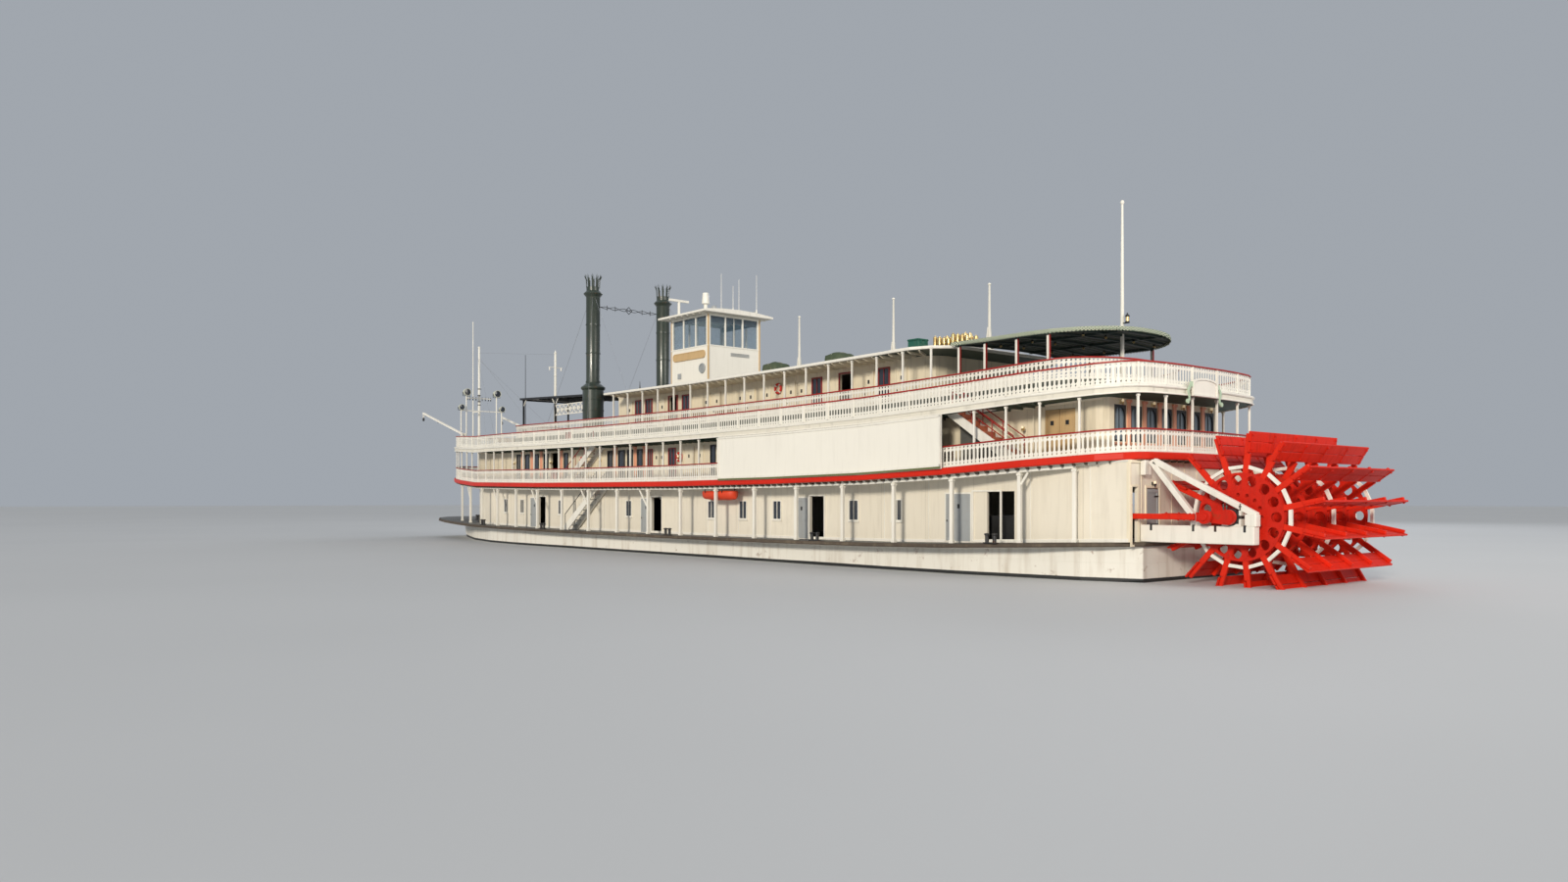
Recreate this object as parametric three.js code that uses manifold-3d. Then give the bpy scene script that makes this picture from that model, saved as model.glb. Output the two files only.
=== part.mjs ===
// Paddle steamer: a scale model, 1:10, of a stern-wheel river boat with four decks.
// Millimetres, +X towards the bow, +Y to port, +Z up. The origin is on the hull's flat bottom, on the
// centre line, halfway along the boat. Inside, every length is a station: the distance forward of the
// wheel's shaft, and the whole boat is then moved back by SHAFT_X.
import * as THREE from "three";
import { mergeVertices } from "three/addons/utils/BufferGeometryUtils.js";
import Module from "manifold-3d";

const wasm = await Module();
wasm.setup();

// Driving dimensions
const SHAFT_X = -3715;
const SEAT = 0.3; // what a piece keeps to the curved deck that carries it
const WALL = 12;
const POST = 12;

// How far the decks rise above their lowest level: [station, rise]
const SHEER = [
  [270, 88],
  [500, 75],
  [800, 57],
  [1200, 32],
  [1700, 14],
  [2400, 4],
  [3300, 0],
  [4200, 4],
  [5000, 11],
  [6200, 30],
  [6700, 56],
  [7200, 82],
  [7800, 114],
];

// Height of each deck's walking surface amidships, and its share of the sheer
const DECK = {
  hull: { z: 280, share: 0.5 },
  main: { z: 300, share: 0.5 },
  boiler: { z: 618, share: 1 },
  texas: { z: 888, share: 1 },
  inner: { z: 957, share: 1 },
  roof: { z: 1212, share: 1 },
  crown: { z: 1240, share: 1 },
};
const BOILER_THICK = 30;
const TEXAS_THICK = 30;
const ROOF_THICK = 14;

// Half breadths along the boat: [station, half breadth]
const HULL_PLAN = [
  [360, 440],
  [600, 520],
  [1200, 600],
  [1600, 612],
  [5400, 612],
  [6000, 560],
  [6600, 420],
  [7100, 240],
  [7500, 90],
  [7700, 14],
];
const HULL_BOTTOM = [
  [360, 145],
  [560, 130],
  [800, 70],
  [1000, 0],
  [6600, 0],
  [7000, 25],
  [7400, 110],
  [7700, 215],
];
const MAIN_PLAN = [
  [355, 452],
  [500, 540],
  [800, 630],
  [1200, 690],
  [1600, 700],
  [5000, 700],
  [5600, 680],
  [6200, 625],
  [6700, 560],
  [7000, 505],
  [7300, 425],
  [7550, 315],
  [7700, 190],
  [7755, 60],
];
const UPPER_PLAN = [
  [330, 0.3],
  [330, 160],
  [335, 250],
  [342, 340],
  [352, 415],
  [370, 465],
  [405, 510],
  [500, 565],
  [800, 645],
  [1200, 692],
  [1600, 700],
  [5000, 700],
  [5600, 675],
  [6200, 610],
  [6700, 510],
  [7000, 415],
  [7200, 332],
  [7400, 240],
  [7540, 145],
  [7600, 60],
  [7600, 0.3],
];
const INNER_PLAN = [
  [590, 0.3],
  [592, 110],
  [605, 205],
  [632, 295],
  [668, 370],
  [712, 428],
  [770, 464],
  [860, 488],
  [1200, 535],
  [1600, 550],
  [5000, 550],
  [5500, 535],
  [5700, 510],
  [5700, 0.3],
];
const HOUSE_PLAN = [
  [380, 505],
  [500, 515],
  [800, 532],
  [5400, 532],
  [6100, 500],
  [6500, 420],
];
const CABIN_PLAN = [
  [520, 400],
  [524, 425],
  [538, 447],
  [565, 460],
  [600, 462],
  [860, 462],
  [1200, 520],
  [1700, 540],
  [5600, 540],
  [6200, 470],
  [6600, 380],
];
const TEXAS_CABIN_PLAN = [
  [1560, 250],
  [1580, 310],
  [1620, 350],
  [1700, 375],
  [1800, 380],
  [4400, 380],
];
const ROOF_PLAN = [
  [1380, 300],
  [1400, 400],
  [1450, 480],
  [1540, 535],
  [1650, 550],
  [4300, 550],
];

// The wheel
const WHEEL = {
  z: 445,
  radius: 325,
  arms: 15,
  frames: [-350, -175, 0, 175, 350],
  ringed: [-350, 0, 350],
  armWide: 22,
  armThick: 14,
  hub: 125,
  ring: 192,
  ringDeep: 9,
  board: 80,
  boardThick: 9,
  half: 365,
  shaft: 25,
};
const CRANK = { radius: 80, inner: 440, outer: 458, arm: 40, pin: 12, pinEnd: 486 };
const PITMAN = { length: 480, eye: 27, bore: 12.9, tall: 24, inner: 461, outer: 483 };
const TIMBER = { inner: 388, outer: 432, bearing: 38, bore: 25.9, aft: -90, hanger: [357, 378] };

const WHITE = 0xf2ede0;
const CREAM = 0xe6dcc4;
const RED = 0xc81a12;
const DARK = 0x23282a;
const GREEN = 0x27463c;
const TAN = 0xc8a468;
const BRASS = 0xc9a557;
const GREY = 0x8b8f92;

// Solids from three.js geometries
function solid(geometry) {
  const bare = geometry.clone();
  bare.deleteAttribute("normal");
  bare.deleteAttribute("uv");
  const merged = mergeVertices(bare, 1e-3);
  return new wasm.Manifold(
    new wasm.Mesh({
      numProp: 3,
      vertProperties: new Float32Array(merged.attributes.position.array),
      triVerts: new Uint32Array(merged.index.array),
    }),
  );
}

function geometryOf(body) {
  const mesh = body.getMesh();
  const places = new Float32Array(mesh.numVert * 3);
  for (let i = 0; i < mesh.numVert; i++) {
    places.set(mesh.vertProperties.subarray(i * mesh.numProp, i * mesh.numProp + 3), i * 3);
  }
  const geometry = new THREE.BufferGeometry();
  geometry.setAttribute("position", new THREE.BufferAttribute(places, 3));
  geometry.setIndex(new THREE.BufferAttribute(new Uint32Array(mesh.triVerts), 1));
  geometry.computeVertexNormals();
  return geometry;
}

function join(parts) {
  return parts.reduce((all, part) => all.add(part));
}

function cut(body, holes) {
  return holes.reduce((all, hole) => all.subtract(hole), body);
}

function box([x0, x1], [y0, y1], [z0, z1]) {
  const g = new THREE.BoxGeometry(x1 - x0, y1 - y0, z1 - z0);
  g.translate((x0 + x1) / 2, (y0 + y1) / 2, (z0 + z1) / 2);
  return solid(g);
}

function upright(x, y, z0, z1, lower, upper = lower, sides = 16) {
  const g = new THREE.CylinderGeometry(upper, lower, z1 - z0, sides);
  g.rotateX(Math.PI / 2);
  g.translate(x, y, (z0 + z1) / 2);
  return solid(g);
}

function across(x, z, y0, y1, radius, sides = 24, first = 0) {
  const g = new THREE.CylinderGeometry(radius, radius, y1 - y0, sides, 1, false, first);
  g.translate(x, (y0 + y1) / 2, z);
  return solid(g);
}

// A straight bar of width w and thickness t between two points
function bar(from, to, w, t = w) {
  const a = new THREE.Vector3(...from);
  const b = new THREE.Vector3(...to);
  const g = new THREE.BoxGeometry(a.distanceTo(b), t, w);
  const frame = new THREE.Matrix4();
  const along = b.clone().sub(a).normalize();
  const helper = Math.abs(along.z) > 0.99 ? new THREE.Vector3(1, 0, 0) : new THREE.Vector3(0, 0, 1);
  const side = new THREE.Vector3().crossVectors(helper, along).normalize();
  const up = new THREE.Vector3().crossVectors(along, side);
  frame.makeBasis(along, side, up);
  g.applyMatrix4(frame);
  g.translate(...a.add(b).multiplyScalar(0.5).toArray());
  return solid(g);
}

// Tables and levels
function read(table, s) {
  const next = table.findIndex(([t]) => t >= s);
  if (next === 0) return table[0][1];
  if (next < 0) return table[table.length - 1][1];
  const [s0, v0] = table[next - 1];
  const [s1, v1] = table[next];
  return v0 + ((v1 - v0) * (s - s0)) / (s1 - s0);
}

function above(deck, height = 0) {
  const { z, share } = DECK[deck];
  return (s) => z + share * read(SHEER, s) + height;
}

function asFunction(value) {
  return typeof value === "function" ? value : () => value;
}

// The stations of a swept piece: its two ends, and each knot of its tables in between
function stations(from, to, ...tables) {
  const knots = [SHEER, ...tables].flat().map(([s]) => s);
  const inside = knots.filter((s) => s > from + 1 && s < to - 1);
  return [...new Set([from, ...inside, to])].sort((a, b) => a - b);
}

// A box whose sides, floor and top follow functions of the station
function swept(places, right, left, floor, top) {
  const last = places.length - 1;
  const g = new THREE.BoxGeometry(1, 1, 1, last, 1, 1);
  const p = g.attributes.position;
  const y = [asFunction(right), asFunction(left)];
  const z = [asFunction(floor), asFunction(top)];
  for (let i = 0; i < p.count; i++) {
    const s = places[Math.round((p.getX(i) + 0.5) * last)];
    p.setXYZ(i, s, y[p.getY(i) < 0 ? 0 : 1](s), z[p.getZ(i) < 0 ? 0 : 1](s));
  }
  return solid(g);
}

// A slab as wide as its plan, drawn in by inset on every edge
function slab(plan, inset, floor, top, from = plan[0][0], to = plan[plan.length - 1][0]) {
  const half = (s) => Math.max(read(plan.filter(([, y]) => y > 1), s) - inset, 4);
  const ends = [from + inset, to - inset];
  return swept(stations(...ends, plan), (s) => -half(s), half, floor, top);
}

// A ring of walls round a plan
function walls(plan, floor, top, thick = WALL) {
  const outside = slab(plan, 0, floor, top);
  const inside = slab(plan, thick, (s) => floor(s) - 50, (s) => top(s) + 50);
  return outside.subtract(inside);
}

// Points of a plan's port edge, moved in by inset square to the edge
function edge(plan, inset) {
  return plan.map(([s, y], i) => {
    const [s0, y0] = plan[Math.max(i - 1, 0)];
    const [s1, y1] = plan[Math.min(i + 1, plan.length - 1)];
    const long = Math.hypot(s1 - s0, y1 - y0);
    return [s + (inset * (y1 - y0)) / long, Math.max(y - (inset * (s1 - s0)) / long, 0.3)];
  });
}

// The plan's points with each sheer knot added, so that a rail follows the deck
function withKnots(plan) {
  const extra = SHEER.map(([s]) => s).filter((s) => s > plan[0][0] && s < plan[plan.length - 1][0]);
  const missing = extra.filter((s) => !plan.some(([t]) => Math.abs(t - s) < 1));
  const points = missing.map((s) => [s, read(plan, s)]);
  return [...plan, ...points].sort((a, b) => a[0] - b[0] || 0);
}

// A rail that runs along a plan's port edge from the stern's centre to the bow's
function ribbon(plan, inset, wide, floor, top) {
  const route = withKnots(plan);
  const outer = edge(route, inset);
  const inner = edge(route, inset + wide);
  const last = route.length - 1;
  const g = new THREE.BoxGeometry(1, 1, 1, last, 1, 1);
  const p = g.attributes.position;
  for (let i = 0; i < p.count; i++) {
    const at = Math.round((p.getX(i) + 0.5) * last);
    const [x, y] = (p.getY(i) < 0 ? inner : outer)[at];
    p.setXYZ(i, x, y, (p.getZ(i) < 0 ? floor : top)(route[at][0]));
  }
  return solid(g);
}

// A post on a plan's port edge
function postAt(plan, s, inset, floor, top, thick = POST) {
  const y = read(plan.filter(([, half]) => half > 1), s) - inset;
  const [z0, z1] = [floor(s) + SEAT * 2, top(s) - SEAT * 2];
  return box([s - thick / 2, s + thick / 2], [y - thick / 2, y + thick / 2], [z0, z1]);
}

function range(first, last, pitch) {
  const count = Math.round((last - first) / pitch);
  return Array.from({ length: count + 1 }, (_, i) => first + ((last - first) * i) / Math.max(count, 1));
}

// Openings cut through both side walls: rows of [first, last, pitch, wide, sill, head]
function rowOfHoles(deck, rows) {
  return rows.flatMap(([first, last, pitch, wide, sill, head]) =>
    range(first, last, pitch).map((s) => {
      const z = above(deck)(s);
      return box([s - wide / 2, s + wide / 2], [-900, 900], [z + sill, z + head]);
    }),
  );
}

// Hull and main deck
function hull() {
  const places = stations(360, 7700, HULL_PLAN, HULL_BOTTOM);
  const last = places.length - 1;
  const g = new THREE.BoxGeometry(1, 1, 1, last, 1, 2);
  const p = g.attributes.position;
  const bilge = 45;
  for (let i = 0; i < p.count; i++) {
    const s = places[Math.round((p.getX(i) + 0.5) * last)];
    const row = Math.round((p.getZ(i) + 0.5) * 2);
    const half = read(HULL_PLAN, s) - (row === 0 ? Math.min(bilge, read(HULL_PLAN, s) - 10) : 0);
    const low = read(HULL_BOTTOM, s);
    const z = [low, Math.min(low + bilge, 262), above("hull")(s)][row];
    p.setXYZ(i, s, Math.sign(p.getY(i)) * half, z);
  }
  return solid(g);
}

const mainDeck = () => slab(MAIN_PLAN, 0, above("hull", SEAT), above("main"));

const DOOR = { wide: 88, tall: 205, gap: 2, hinge: 0.4 };
const AFT_DOOR = { y: 298, s: 380 };
const CABIN_DOORS = { s: 740, wide: 76 };
const HOUSE_ENTRIES = [
  [1000, 1000, 1, 150, 8, 225],
  [2200, 5200, 1500, 110, 8, 225],
];
const PITMAN_SLOT = { y: [450, 490], z: [332, 562] };

// The house is built in two lengths, which meet amidships
const HOUSE_JOINT = 3440;
function mainHouse(from, to) {
  const length = box([from, to], [-900, 900], [0, 900]);
  const ceiling = above("boiler", -BOILER_THICK - SEAT);
  const ring = walls(HOUSE_PLAN, above("main", SEAT), ceiling).intersect(length);
  const slot = PITMAN_SLOT;
  const aftDoor = box(
    [360, 410],
    [AFT_DOOR.y - DOOR.hinge, AFT_DOOR.y + DOOR.wide + DOOR.gap],
    [above("main")(380) + 6, above("main")(380) + 10 + DOOR.tall],
  );
  const slots = [1, -1].map((side) =>
    box([360, 410], slot.y.map((y) => y * side).sort((a, b) => a - b), slot.z));
  return cut(ring, [aftDoor, ...slots, ...rowOfHoles("main", HOUSE_ENTRIES)]);
}

function engineBlock() {
  return swept(stations(640, 1180), 380, 472, above("main", SEAT), above("main", 120));
}

function boilerBlock() {
  return swept(stations(4300, 5050), -260, 260, above("main", SEAT), above("main", 210));
}

// Timbers, braces and bearing on the port side of the wheel
function wheelTimbers() {
  const { inner, outer, bearing, bore, aft, hanger: [near, far] } = TIMBER;
  const middle = (inner + outer) / 2;
  const deck = above("main");
  const top = above("boiler", -BOILER_THICK - SEAT)(far);
  const beam = box([aft, far], [inner, outer], [deck(360) + 2, WHEEL.z - bearing + 4]);
  const block = box([-bearing, bearing], [inner + 4, outer - 4], [WHEEL.z - bearing, WHEEL.z + bearing]);
  const cap = across(0, WHEEL.z + bearing - 8, inner + 6, outer - 6, 24, 16);
  const long = bar([near + 8, middle, top - 20], [aft + 12, middle, WHEEL.z - 30], 24, 24);
  const short = bar([near + 8, middle, top - 20], [140, middle, WHEEL.z - 40], 24, 24);
  const prop = bar([60, middle, WHEEL.z - 40], [0, middle, WHEEL.z + 20], 18, 18);
  const hanger = box([near, far], [inner, outer], [top - 60, top]);
  const hole = across(0, WHEEL.z, inner - 10, outer + 10, bore, 32);
  return join([beam, block, cap, long, short, prop, hanger]).subtract(hole);
}

// The wheel turns about the shaft, which lies along Y through the origin
function turned(body, angle) {
  const g = geometryOf(body);
  g.rotateY(-angle);
  return solid(g);
}

function paddleWheel() {
  const w = WHEEL;
  const step = (2 * Math.PI) / w.arms;
  const parts = [across(0, 0, -CRANK.outer, CRANK.outer, w.shaft, 16)];
  w.frames.forEach((y) => {
    const [y0, y1] = [y - w.armThick / 2, y + w.armThick / 2];
    parts.push(across(0, 0, y0, y1, w.hub, 2 * w.arms));
    if (w.ringed.includes(y)) {
      parts.push(across(0, 0, y0, y1, w.ring + w.ringDeep, w.arms, Math.PI / 2)
        .subtract(across(0, 0, y0 - 5, y1 + 5, w.ring - w.ringDeep, w.arms, Math.PI / 2)));
    }
    for (let k = 0; k < w.arms; k++) {
      const arm = box([w.hub - 20, w.radius - 12], [y0, y1], [-w.armWide / 2, w.armWide / 2]);
      parts.push(turned(arm, k * step));
    }
  });
  for (let k = 0; k < w.arms; k++) {
    const board = box([w.radius - w.board, w.radius], [-w.half, w.half],
      [w.armWide / 2 - w.boardThick, w.armWide / 2]);
    parts.push(turned(board, k * step));
  }
  // Cranks a quarter turn apart: [side, angle]
  [[1, 0], [-1, Math.PI / 2]].forEach(([side, angle]) => {
    const span = (a, b) => [a * side, b * side].sort((m, n) => m - n);
    const web = box([-CRANK.arm / 2, CRANK.radius + CRANK.arm / 2], span(CRANK.inner, CRANK.outer),
      [-CRANK.arm / 2, CRANK.arm / 2]);
    const [y0, y1] = span(CRANK.inner + 6, CRANK.pinEnd);
    parts.push(turned(web, angle), turned(across(CRANK.radius, 0, y0, y1, CRANK.pin, 16), angle));
  });
  return join(parts);
}

function pitman() {
  const p = PITMAN;
  const eye = across(0, 0, p.inner, p.outer, p.eye, 16);
  const rod = box([p.eye - 6, p.length], [p.inner + 3, p.outer - 3], [-p.tall / 2, p.tall / 2]);
  const end = across(p.length, 0, p.inner, p.outer, p.eye - 4, 16);
  return join([eye, rod, end]).subtract(across(0, 0, p.inner - 5, p.outer + 5, p.bore, 24));
}

const RUDDER = { s: 475, y: 255, z0: 12, z1: 122, fore: 55, aft: 90, thick: 12, post: 9 };
function rudder() {
  const r = RUDDER;
  const blade = box([-r.aft, r.fore], [-r.thick / 2, r.thick / 2], [r.z0, r.z1]);
  return blade.add(upright(0, 0, r.z0, read(HULL_BOTTOM, r.s + r.post) - 0.5, r.post, r.post, 12));
}

// Posts under a deck's guard, joined by the beam that they carry
function mainPosts() {
  const top = above("boiler", -BOILER_THICK - SEAT);
  const beam = swept(stations(600, 7100), (s) => read(UPPER_PLAN.slice(1), s) - 48,
    (s) => read(UPPER_PLAN.slice(1), s) - 34, (s) => top(s) - 20, top);
  const places = [605, 838, ...range(1179, 3700, 347), ...range(3965, 6900, 358)];
  const posts = places.map((s) => postAt(UPPER_PLAN, s, 41, above("main"), top, 16));
  return join([beam, ...posts]);
}

// Decks: each has wells for the stairs that come up through it
const STAIR = { y: [542, 622] };
const STAIRS = {
  aft: { deck: "boiler", next: "texas", foot: 850, head: 1230 },
  fore: { deck: "boiler", next: "texas", foot: 4700, head: 4300 },
  main: { deck: "main", next: "boiler", foot: 4720, head: 4260 },
};
function well(stair, deck, thick) {
  const { foot, head } = STAIRS[stair];
  const low = head + (foot - head) * 0.55;
  const [x0, x1] = [Math.min(head, low) - 8, Math.max(head, low) + 8];
  const z = above(deck)(head);
  return [1, -1].map((side) =>
    box([x0, x1], STAIR.y.map((y, i) => (y + (i ? 5 : -5)) * side).sort((a, b) => a - b),
      [z - thick - 30, z + 30]));
}

function boilerDeck() {
  const plate = slab(UPPER_PLAN, 0, above("boiler", -BOILER_THICK), above("boiler"));
  return cut(plate, well("main", "boiler", BOILER_THICK));
}

function texasDeck() {
  const plate = slab(UPPER_PLAN, 0, above("texas", -TEXAS_THICK), above("texas"));
  return cut(plate, [...well("aft", "texas", TEXAS_THICK), ...well("fore", "texas", TEXAS_THICK)]);
}

const innerDeck = () => slab(INNER_PLAN, 0, above("texas", SEAT), above("inner"));

// A stair: a saw-toothed flight between two stringers, foot at the low station
function stair(name) {
  const { deck, next, foot, head } = STAIRS[name];
  const rise = above(next)(head) - above(deck)(foot) - 4;
  const count = 9;
  const way = Math.sign(head - foot);
  const going = Math.abs(head - foot) / count;
  const shape = new THREE.Shape();
  shape.moveTo(0, 0);
  for (let i = 0; i < count; i++) {
    shape.lineTo(i * going, ((i + 1) * rise) / count);
    shape.lineTo((i + 1) * going, ((i + 1) * rise) / count);
  }
  shape.lineTo(count * going, rise - 26);
  shape.lineTo(going * 1.4, 0);
  const [y0, y1] = STAIR.y;
  const flight = new THREE.ExtrudeGeometry(shape, { depth: y1 - y0 - 12, bevelEnabled: false });
  flight.rotateX(Math.PI / 2);
  if (way < 0) flight.rotateZ(Math.PI);
  flight.translate(0, way > 0 ? y1 - 6 : y0 + 6, 0);
  const run = count * going * way;
  const strings = [y0, y1 - 6].map((y) =>
    join([bar([8 * way, y + 3, 14], [run - 14 * way, y + 3, rise - 14], 34, 6)]));
  const trim = box([-700, 700], [y0 - 20, y1 + 20], [0, rise + 4]);
  const steps = join([solid(flight), ...strings]).intersect(trim);
  const g = geometryOf(steps);
  g.translate(foot, 0, above(deck)(foot) + 0.4);
  return solid(g);
}

// Balustrades: the balusters stand so close that a rail is one thin board, with the posts that rise
// through it
const RAIL = { tall: 98, wide: 7, inset: 10 };
function railing(plan, deck, posts, roof) {
  const { tall, wide, inset } = RAIL;
  const board = ribbon(plan, inset, wide, above(deck, 2 * SEAT), above(deck, tall));
  const columns = posts.map((s) => postAt(plan, s, inset + wide / 2, above(deck), roof));
  return join([board, ...columns]);
}

// The boiler deck's posts follow the boat's side, and stand across the stern
function boilerRail() {
  const roof = above("texas", -TEXAS_THICK);
  const rail = railing(UPPER_PLAN, "boiler", [568, 731, 883, ...range(1041, 6852, 363), 7060], roof);
  const stern = [[345, 95], [349, 285], [372, 445]].map(([s, y]) =>
    box([s - POST / 2, s + POST / 2], [y - POST / 2, y + POST / 2],
      [above("boiler", SEAT * 2)(s - POST / 2), roof(s + POST / 2) - SEAT * 2]));
  return join([rail, ...stern]);
}

const texasRail = () => railing(UPPER_PLAN, "texas", []);

function innerRail() {
  return railing(INNER_PLAN, "inner", range(1700, 4250, 300), above("roof", -ROOF_THICK));
}

// Cabins
const CABIN_ENTRIES = [
  [3000, 5000, 2000, 110, 8, 215],
];
const TEXAS_ENTRIES = [
  [2145, 3745, 1600, 90, 8, 205],
];
function aftWindows() {
  const z = above("boiler")(520);
  return range(-354, 354, 118).map((y) => box([500, 560], [y - 42, y + 42], [z + 60, z + 212]));
}

function doorHole(s0, s1, deck) {
  const z = above(deck)((s0 + s1) / 2);
  return box([s0 - DOOR.hinge, s1 + DOOR.hinge], [-900, 900], [z + 6, z + 10 + DOOR.tall]);
}

function boilerCabin() {
  const ring = walls(CABIN_PLAN, above("boiler", SEAT), above("texas", -TEXAS_THICK - SEAT));
  const { s, wide } = CABIN_DOORS;
  return cut(ring, [doorHole(s - wide, s + wide, "boiler"), ...aftWindows(),
    ...rowOfHoles("boiler", CABIN_ENTRIES)]);
}

function texasCabin() {
  const ring = walls(TEXAS_CABIN_PLAN, above("inner", SEAT), above("roof", -ROOF_THICK - SEAT));
  return cut(ring, rowOfHoles("inner", TEXAS_ENTRIES));
}

// One leaf of the boiler deck's double doors; side is -1 for the aft leaf, +1 for the fore leaf
function cabinLeaf(side) {
  const { s, wide } = CABIN_DOORS;
  const [x0, x1] = [s + side, s + side * wide].sort((a, b) => a - b);
  const z = above("boiler")(s) + 9;
  const half = read(CABIN_PLAN, s);
  return box([x0, x1], [half - WALL, half], [z, z + DOOR.tall]);
}

function aftDoor() {
  const z = above("main")(380) + 8;
  return box([AFT_DOOR.s, AFT_DOOR.s + WALL], [AFT_DOOR.y, AFT_DOOR.y + DOOR.wide], [z, z + DOOR.tall]);
}

// The Texas roof is crowned, and carries the staffs, the float covers and a locker
const STAFFS = [
  { s: 2170, y: 0, top: 1610 },
  { s: 2960, y: 0, top: 1610 },
  { s: 1500, y: 0, top: 1590 },
];
const CROWN_HALF = 262;
function texasRoof() {
  const plate = slab(ROOF_PLAN, 0, above("roof", -ROOF_THICK), above("roof"));
  const places = stations(1480, 4280);
  const slopes = [0, 1].map((k) => swept(places, k ? -430 : -CROWN_HALF, k ? 430 : CROWN_HALF,
    above("roof", -4), k ? above("roof", 11) : above("crown")));
  const staffs = STAFFS.map(({ s, y, top }) => upright(s, y, above("roof")(s), top, 9, 5, 8));
  const covers = [2400, 2950].map((s) =>
    swept([s - 60, s - 40, s, s + 40, s + 60], 130, 250, above("crown", -2),
      (t) => above("crown", 66 - 50 * ((t - s) / 60) ** 2)(s)));
  const locker = box([1780, 1850], [150, 220], [above("crown")(1815) - 3, above("crown")(1815) + 70]);
  return join([plate, ...slopes, ...staffs, ...covers, locker]);
}

const HOUSE = { from: 3605, to: 4015, half: 210, sill: 258, head: 443, top: 460 };
const PILOT_DOOR = { s: 3665, wide: 72, tall: 205 };
function pilothouse() {
  const h = HOUSE;
  const base = above("crown", SEAT);
  const plan = [[h.from, h.half], [h.to, h.half]];
  const ring = walls(plan, base, above("crown", h.top), 10);
  const z = above("crown")(3700);
  const holes = [
    box([h.from + 20, h.to - 20], [-900, 900], [z + h.sill, z + h.head]),
    box([3000, 4600], [-h.half + 20, h.half - 20], [z + h.sill, z + h.head]),
    box([PILOT_DOOR.s - DOOR.hinge, PILOT_DOOR.s + PILOT_DOOR.wide + DOOR.gap], [-900, 0],
      [z + 6, z + 10 + PILOT_DOOR.tall]),
  ];
  const mullions = [3742, 3878].flatMap((s) =>
    [1, -1].map((side) => box([s - 5, s + 5], side > 0 ? [h.half - 10, h.half] : [-h.half, 10 - h.half],
      [z + h.sill - 4, z + h.head + 4])));
  const cross = [-70, 70].flatMap((y) => [[h.from, h.from + 10], [h.to - 10, h.to]].map((x) =>
    box(x, [y - 5, y + 5], [z + h.sill - 4, z + h.head + 4])));
  return join([cut(ring, holes), ...mullions, ...cross]);
}

function pilotDoor() {
  const z = above("crown")(3700) + 8;
  return box([PILOT_DOOR.s, PILOT_DOOR.s + PILOT_DOOR.wide], [-HOUSE.half, 10 - HOUSE.half],
    [z, z + PILOT_DOOR.tall]);
}

function pilothouseRoof() {
  const h = HOUSE;
  const z = above("crown", h.top)(h.to) + SEAT;
  const g = new THREE.BoxGeometry(1, 1, 1, 2, 4, 1);
  const p = g.attributes.position;
  for (let i = 0; i < p.count; i++) {
    const [u, v] = [p.getX(i) * 2, p.getY(i) * 2];
    const lift = 30 * (1 - v * v) * (1 - 0.4 * u * u);
    p.setXYZ(i, (h.from + h.to) / 2 + u * 262, v * 275, p.getZ(i) < 0 ? z : z + 10 + lift);
  }
  const [scanner, horn] = [{ s: 3950, y: 195 }, { s: 3920, y: 0 }];
  const stand = upright(scanner.s, scanner.y, z + 8, z + 116, 9, 9, 8);
  const arm = box([scanner.s - 8, scanner.s + 8], [scanner.y - 75, scanner.y + 75], [z + 112, z + 126]);
  const mast = upright(horn.s, horn.y, z + 20, z + 120, 14, 12, 10);
  const dome = upright(horn.s, horn.y, z + 118, z + 190, 26, 20, 12);
  const lamp = upright(3960, -150, z + 10, z + 60, 20, 22, 12);
  return join([solid(g), mast, dome, arm, stand, lamp]);
}

// Stacks: sleeve, pipe, cornice and a crown of pointed leaves
const STACK = {
  s: 4880, y: 300, pipe: 50, sleeve: 75, sleeveTop: 1325, cornice: 1990, top: 2132, leaves: 9,
};
function stack() {
  const k = STACK;
  const base = above("inner", SEAT)(k.s + k.sleeve + 8);
  const profile = [
    [0, base],
    [k.sleeve + 8, base],
    [k.sleeve + 8, base + 12],
    [k.sleeve, base + 14],
    [k.sleeve, k.sleeveTop - 30],
    [k.sleeve + 12, k.sleeveTop - 20],
    [k.sleeve + 12, k.sleeveTop - 8],
    [k.pipe + 4, k.sleeveTop + 16],
    [k.pipe, k.sleeveTop + 20],
    [k.pipe, k.cornice - 26],
    [k.pipe + 16, k.cornice - 10],
    [k.pipe + 16, k.cornice],
    [k.pipe, k.cornice + 14],
    [k.pipe, k.cornice + 50],
    [k.pipe - 7, k.cornice + 50],
    [k.pipe - 7, k.cornice - 60],
    [0, k.cornice - 60],
  ].map(([r, z]) => new THREE.Vector2(r, z));
  const g = new THREE.LatheGeometry(profile, 16);
  g.rotateX(Math.PI / 2);
  const body = solid(g);
  const pipe = body.volume() < 0 ? solid(g.scale(1, -1, 1)) : body;
  const leaves = Array.from({ length: k.leaves }, (_, i) => {
    const a = (i * 2 * Math.PI) / k.leaves;
    const low = [Math.cos(a) * (k.pipe - 4), Math.sin(a) * (k.pipe - 4), k.cornice + 40];
    const high = [Math.cos(a) * (k.pipe + 10), Math.sin(a) * (k.pipe + 10), k.top - 4];
    return bar(low, high, 8, 8);
  });
  const all = geometryOf(join([pipe, ...leaves]));
  all.translate(k.s, k.y, 0);
  return solid(all);
}

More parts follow.
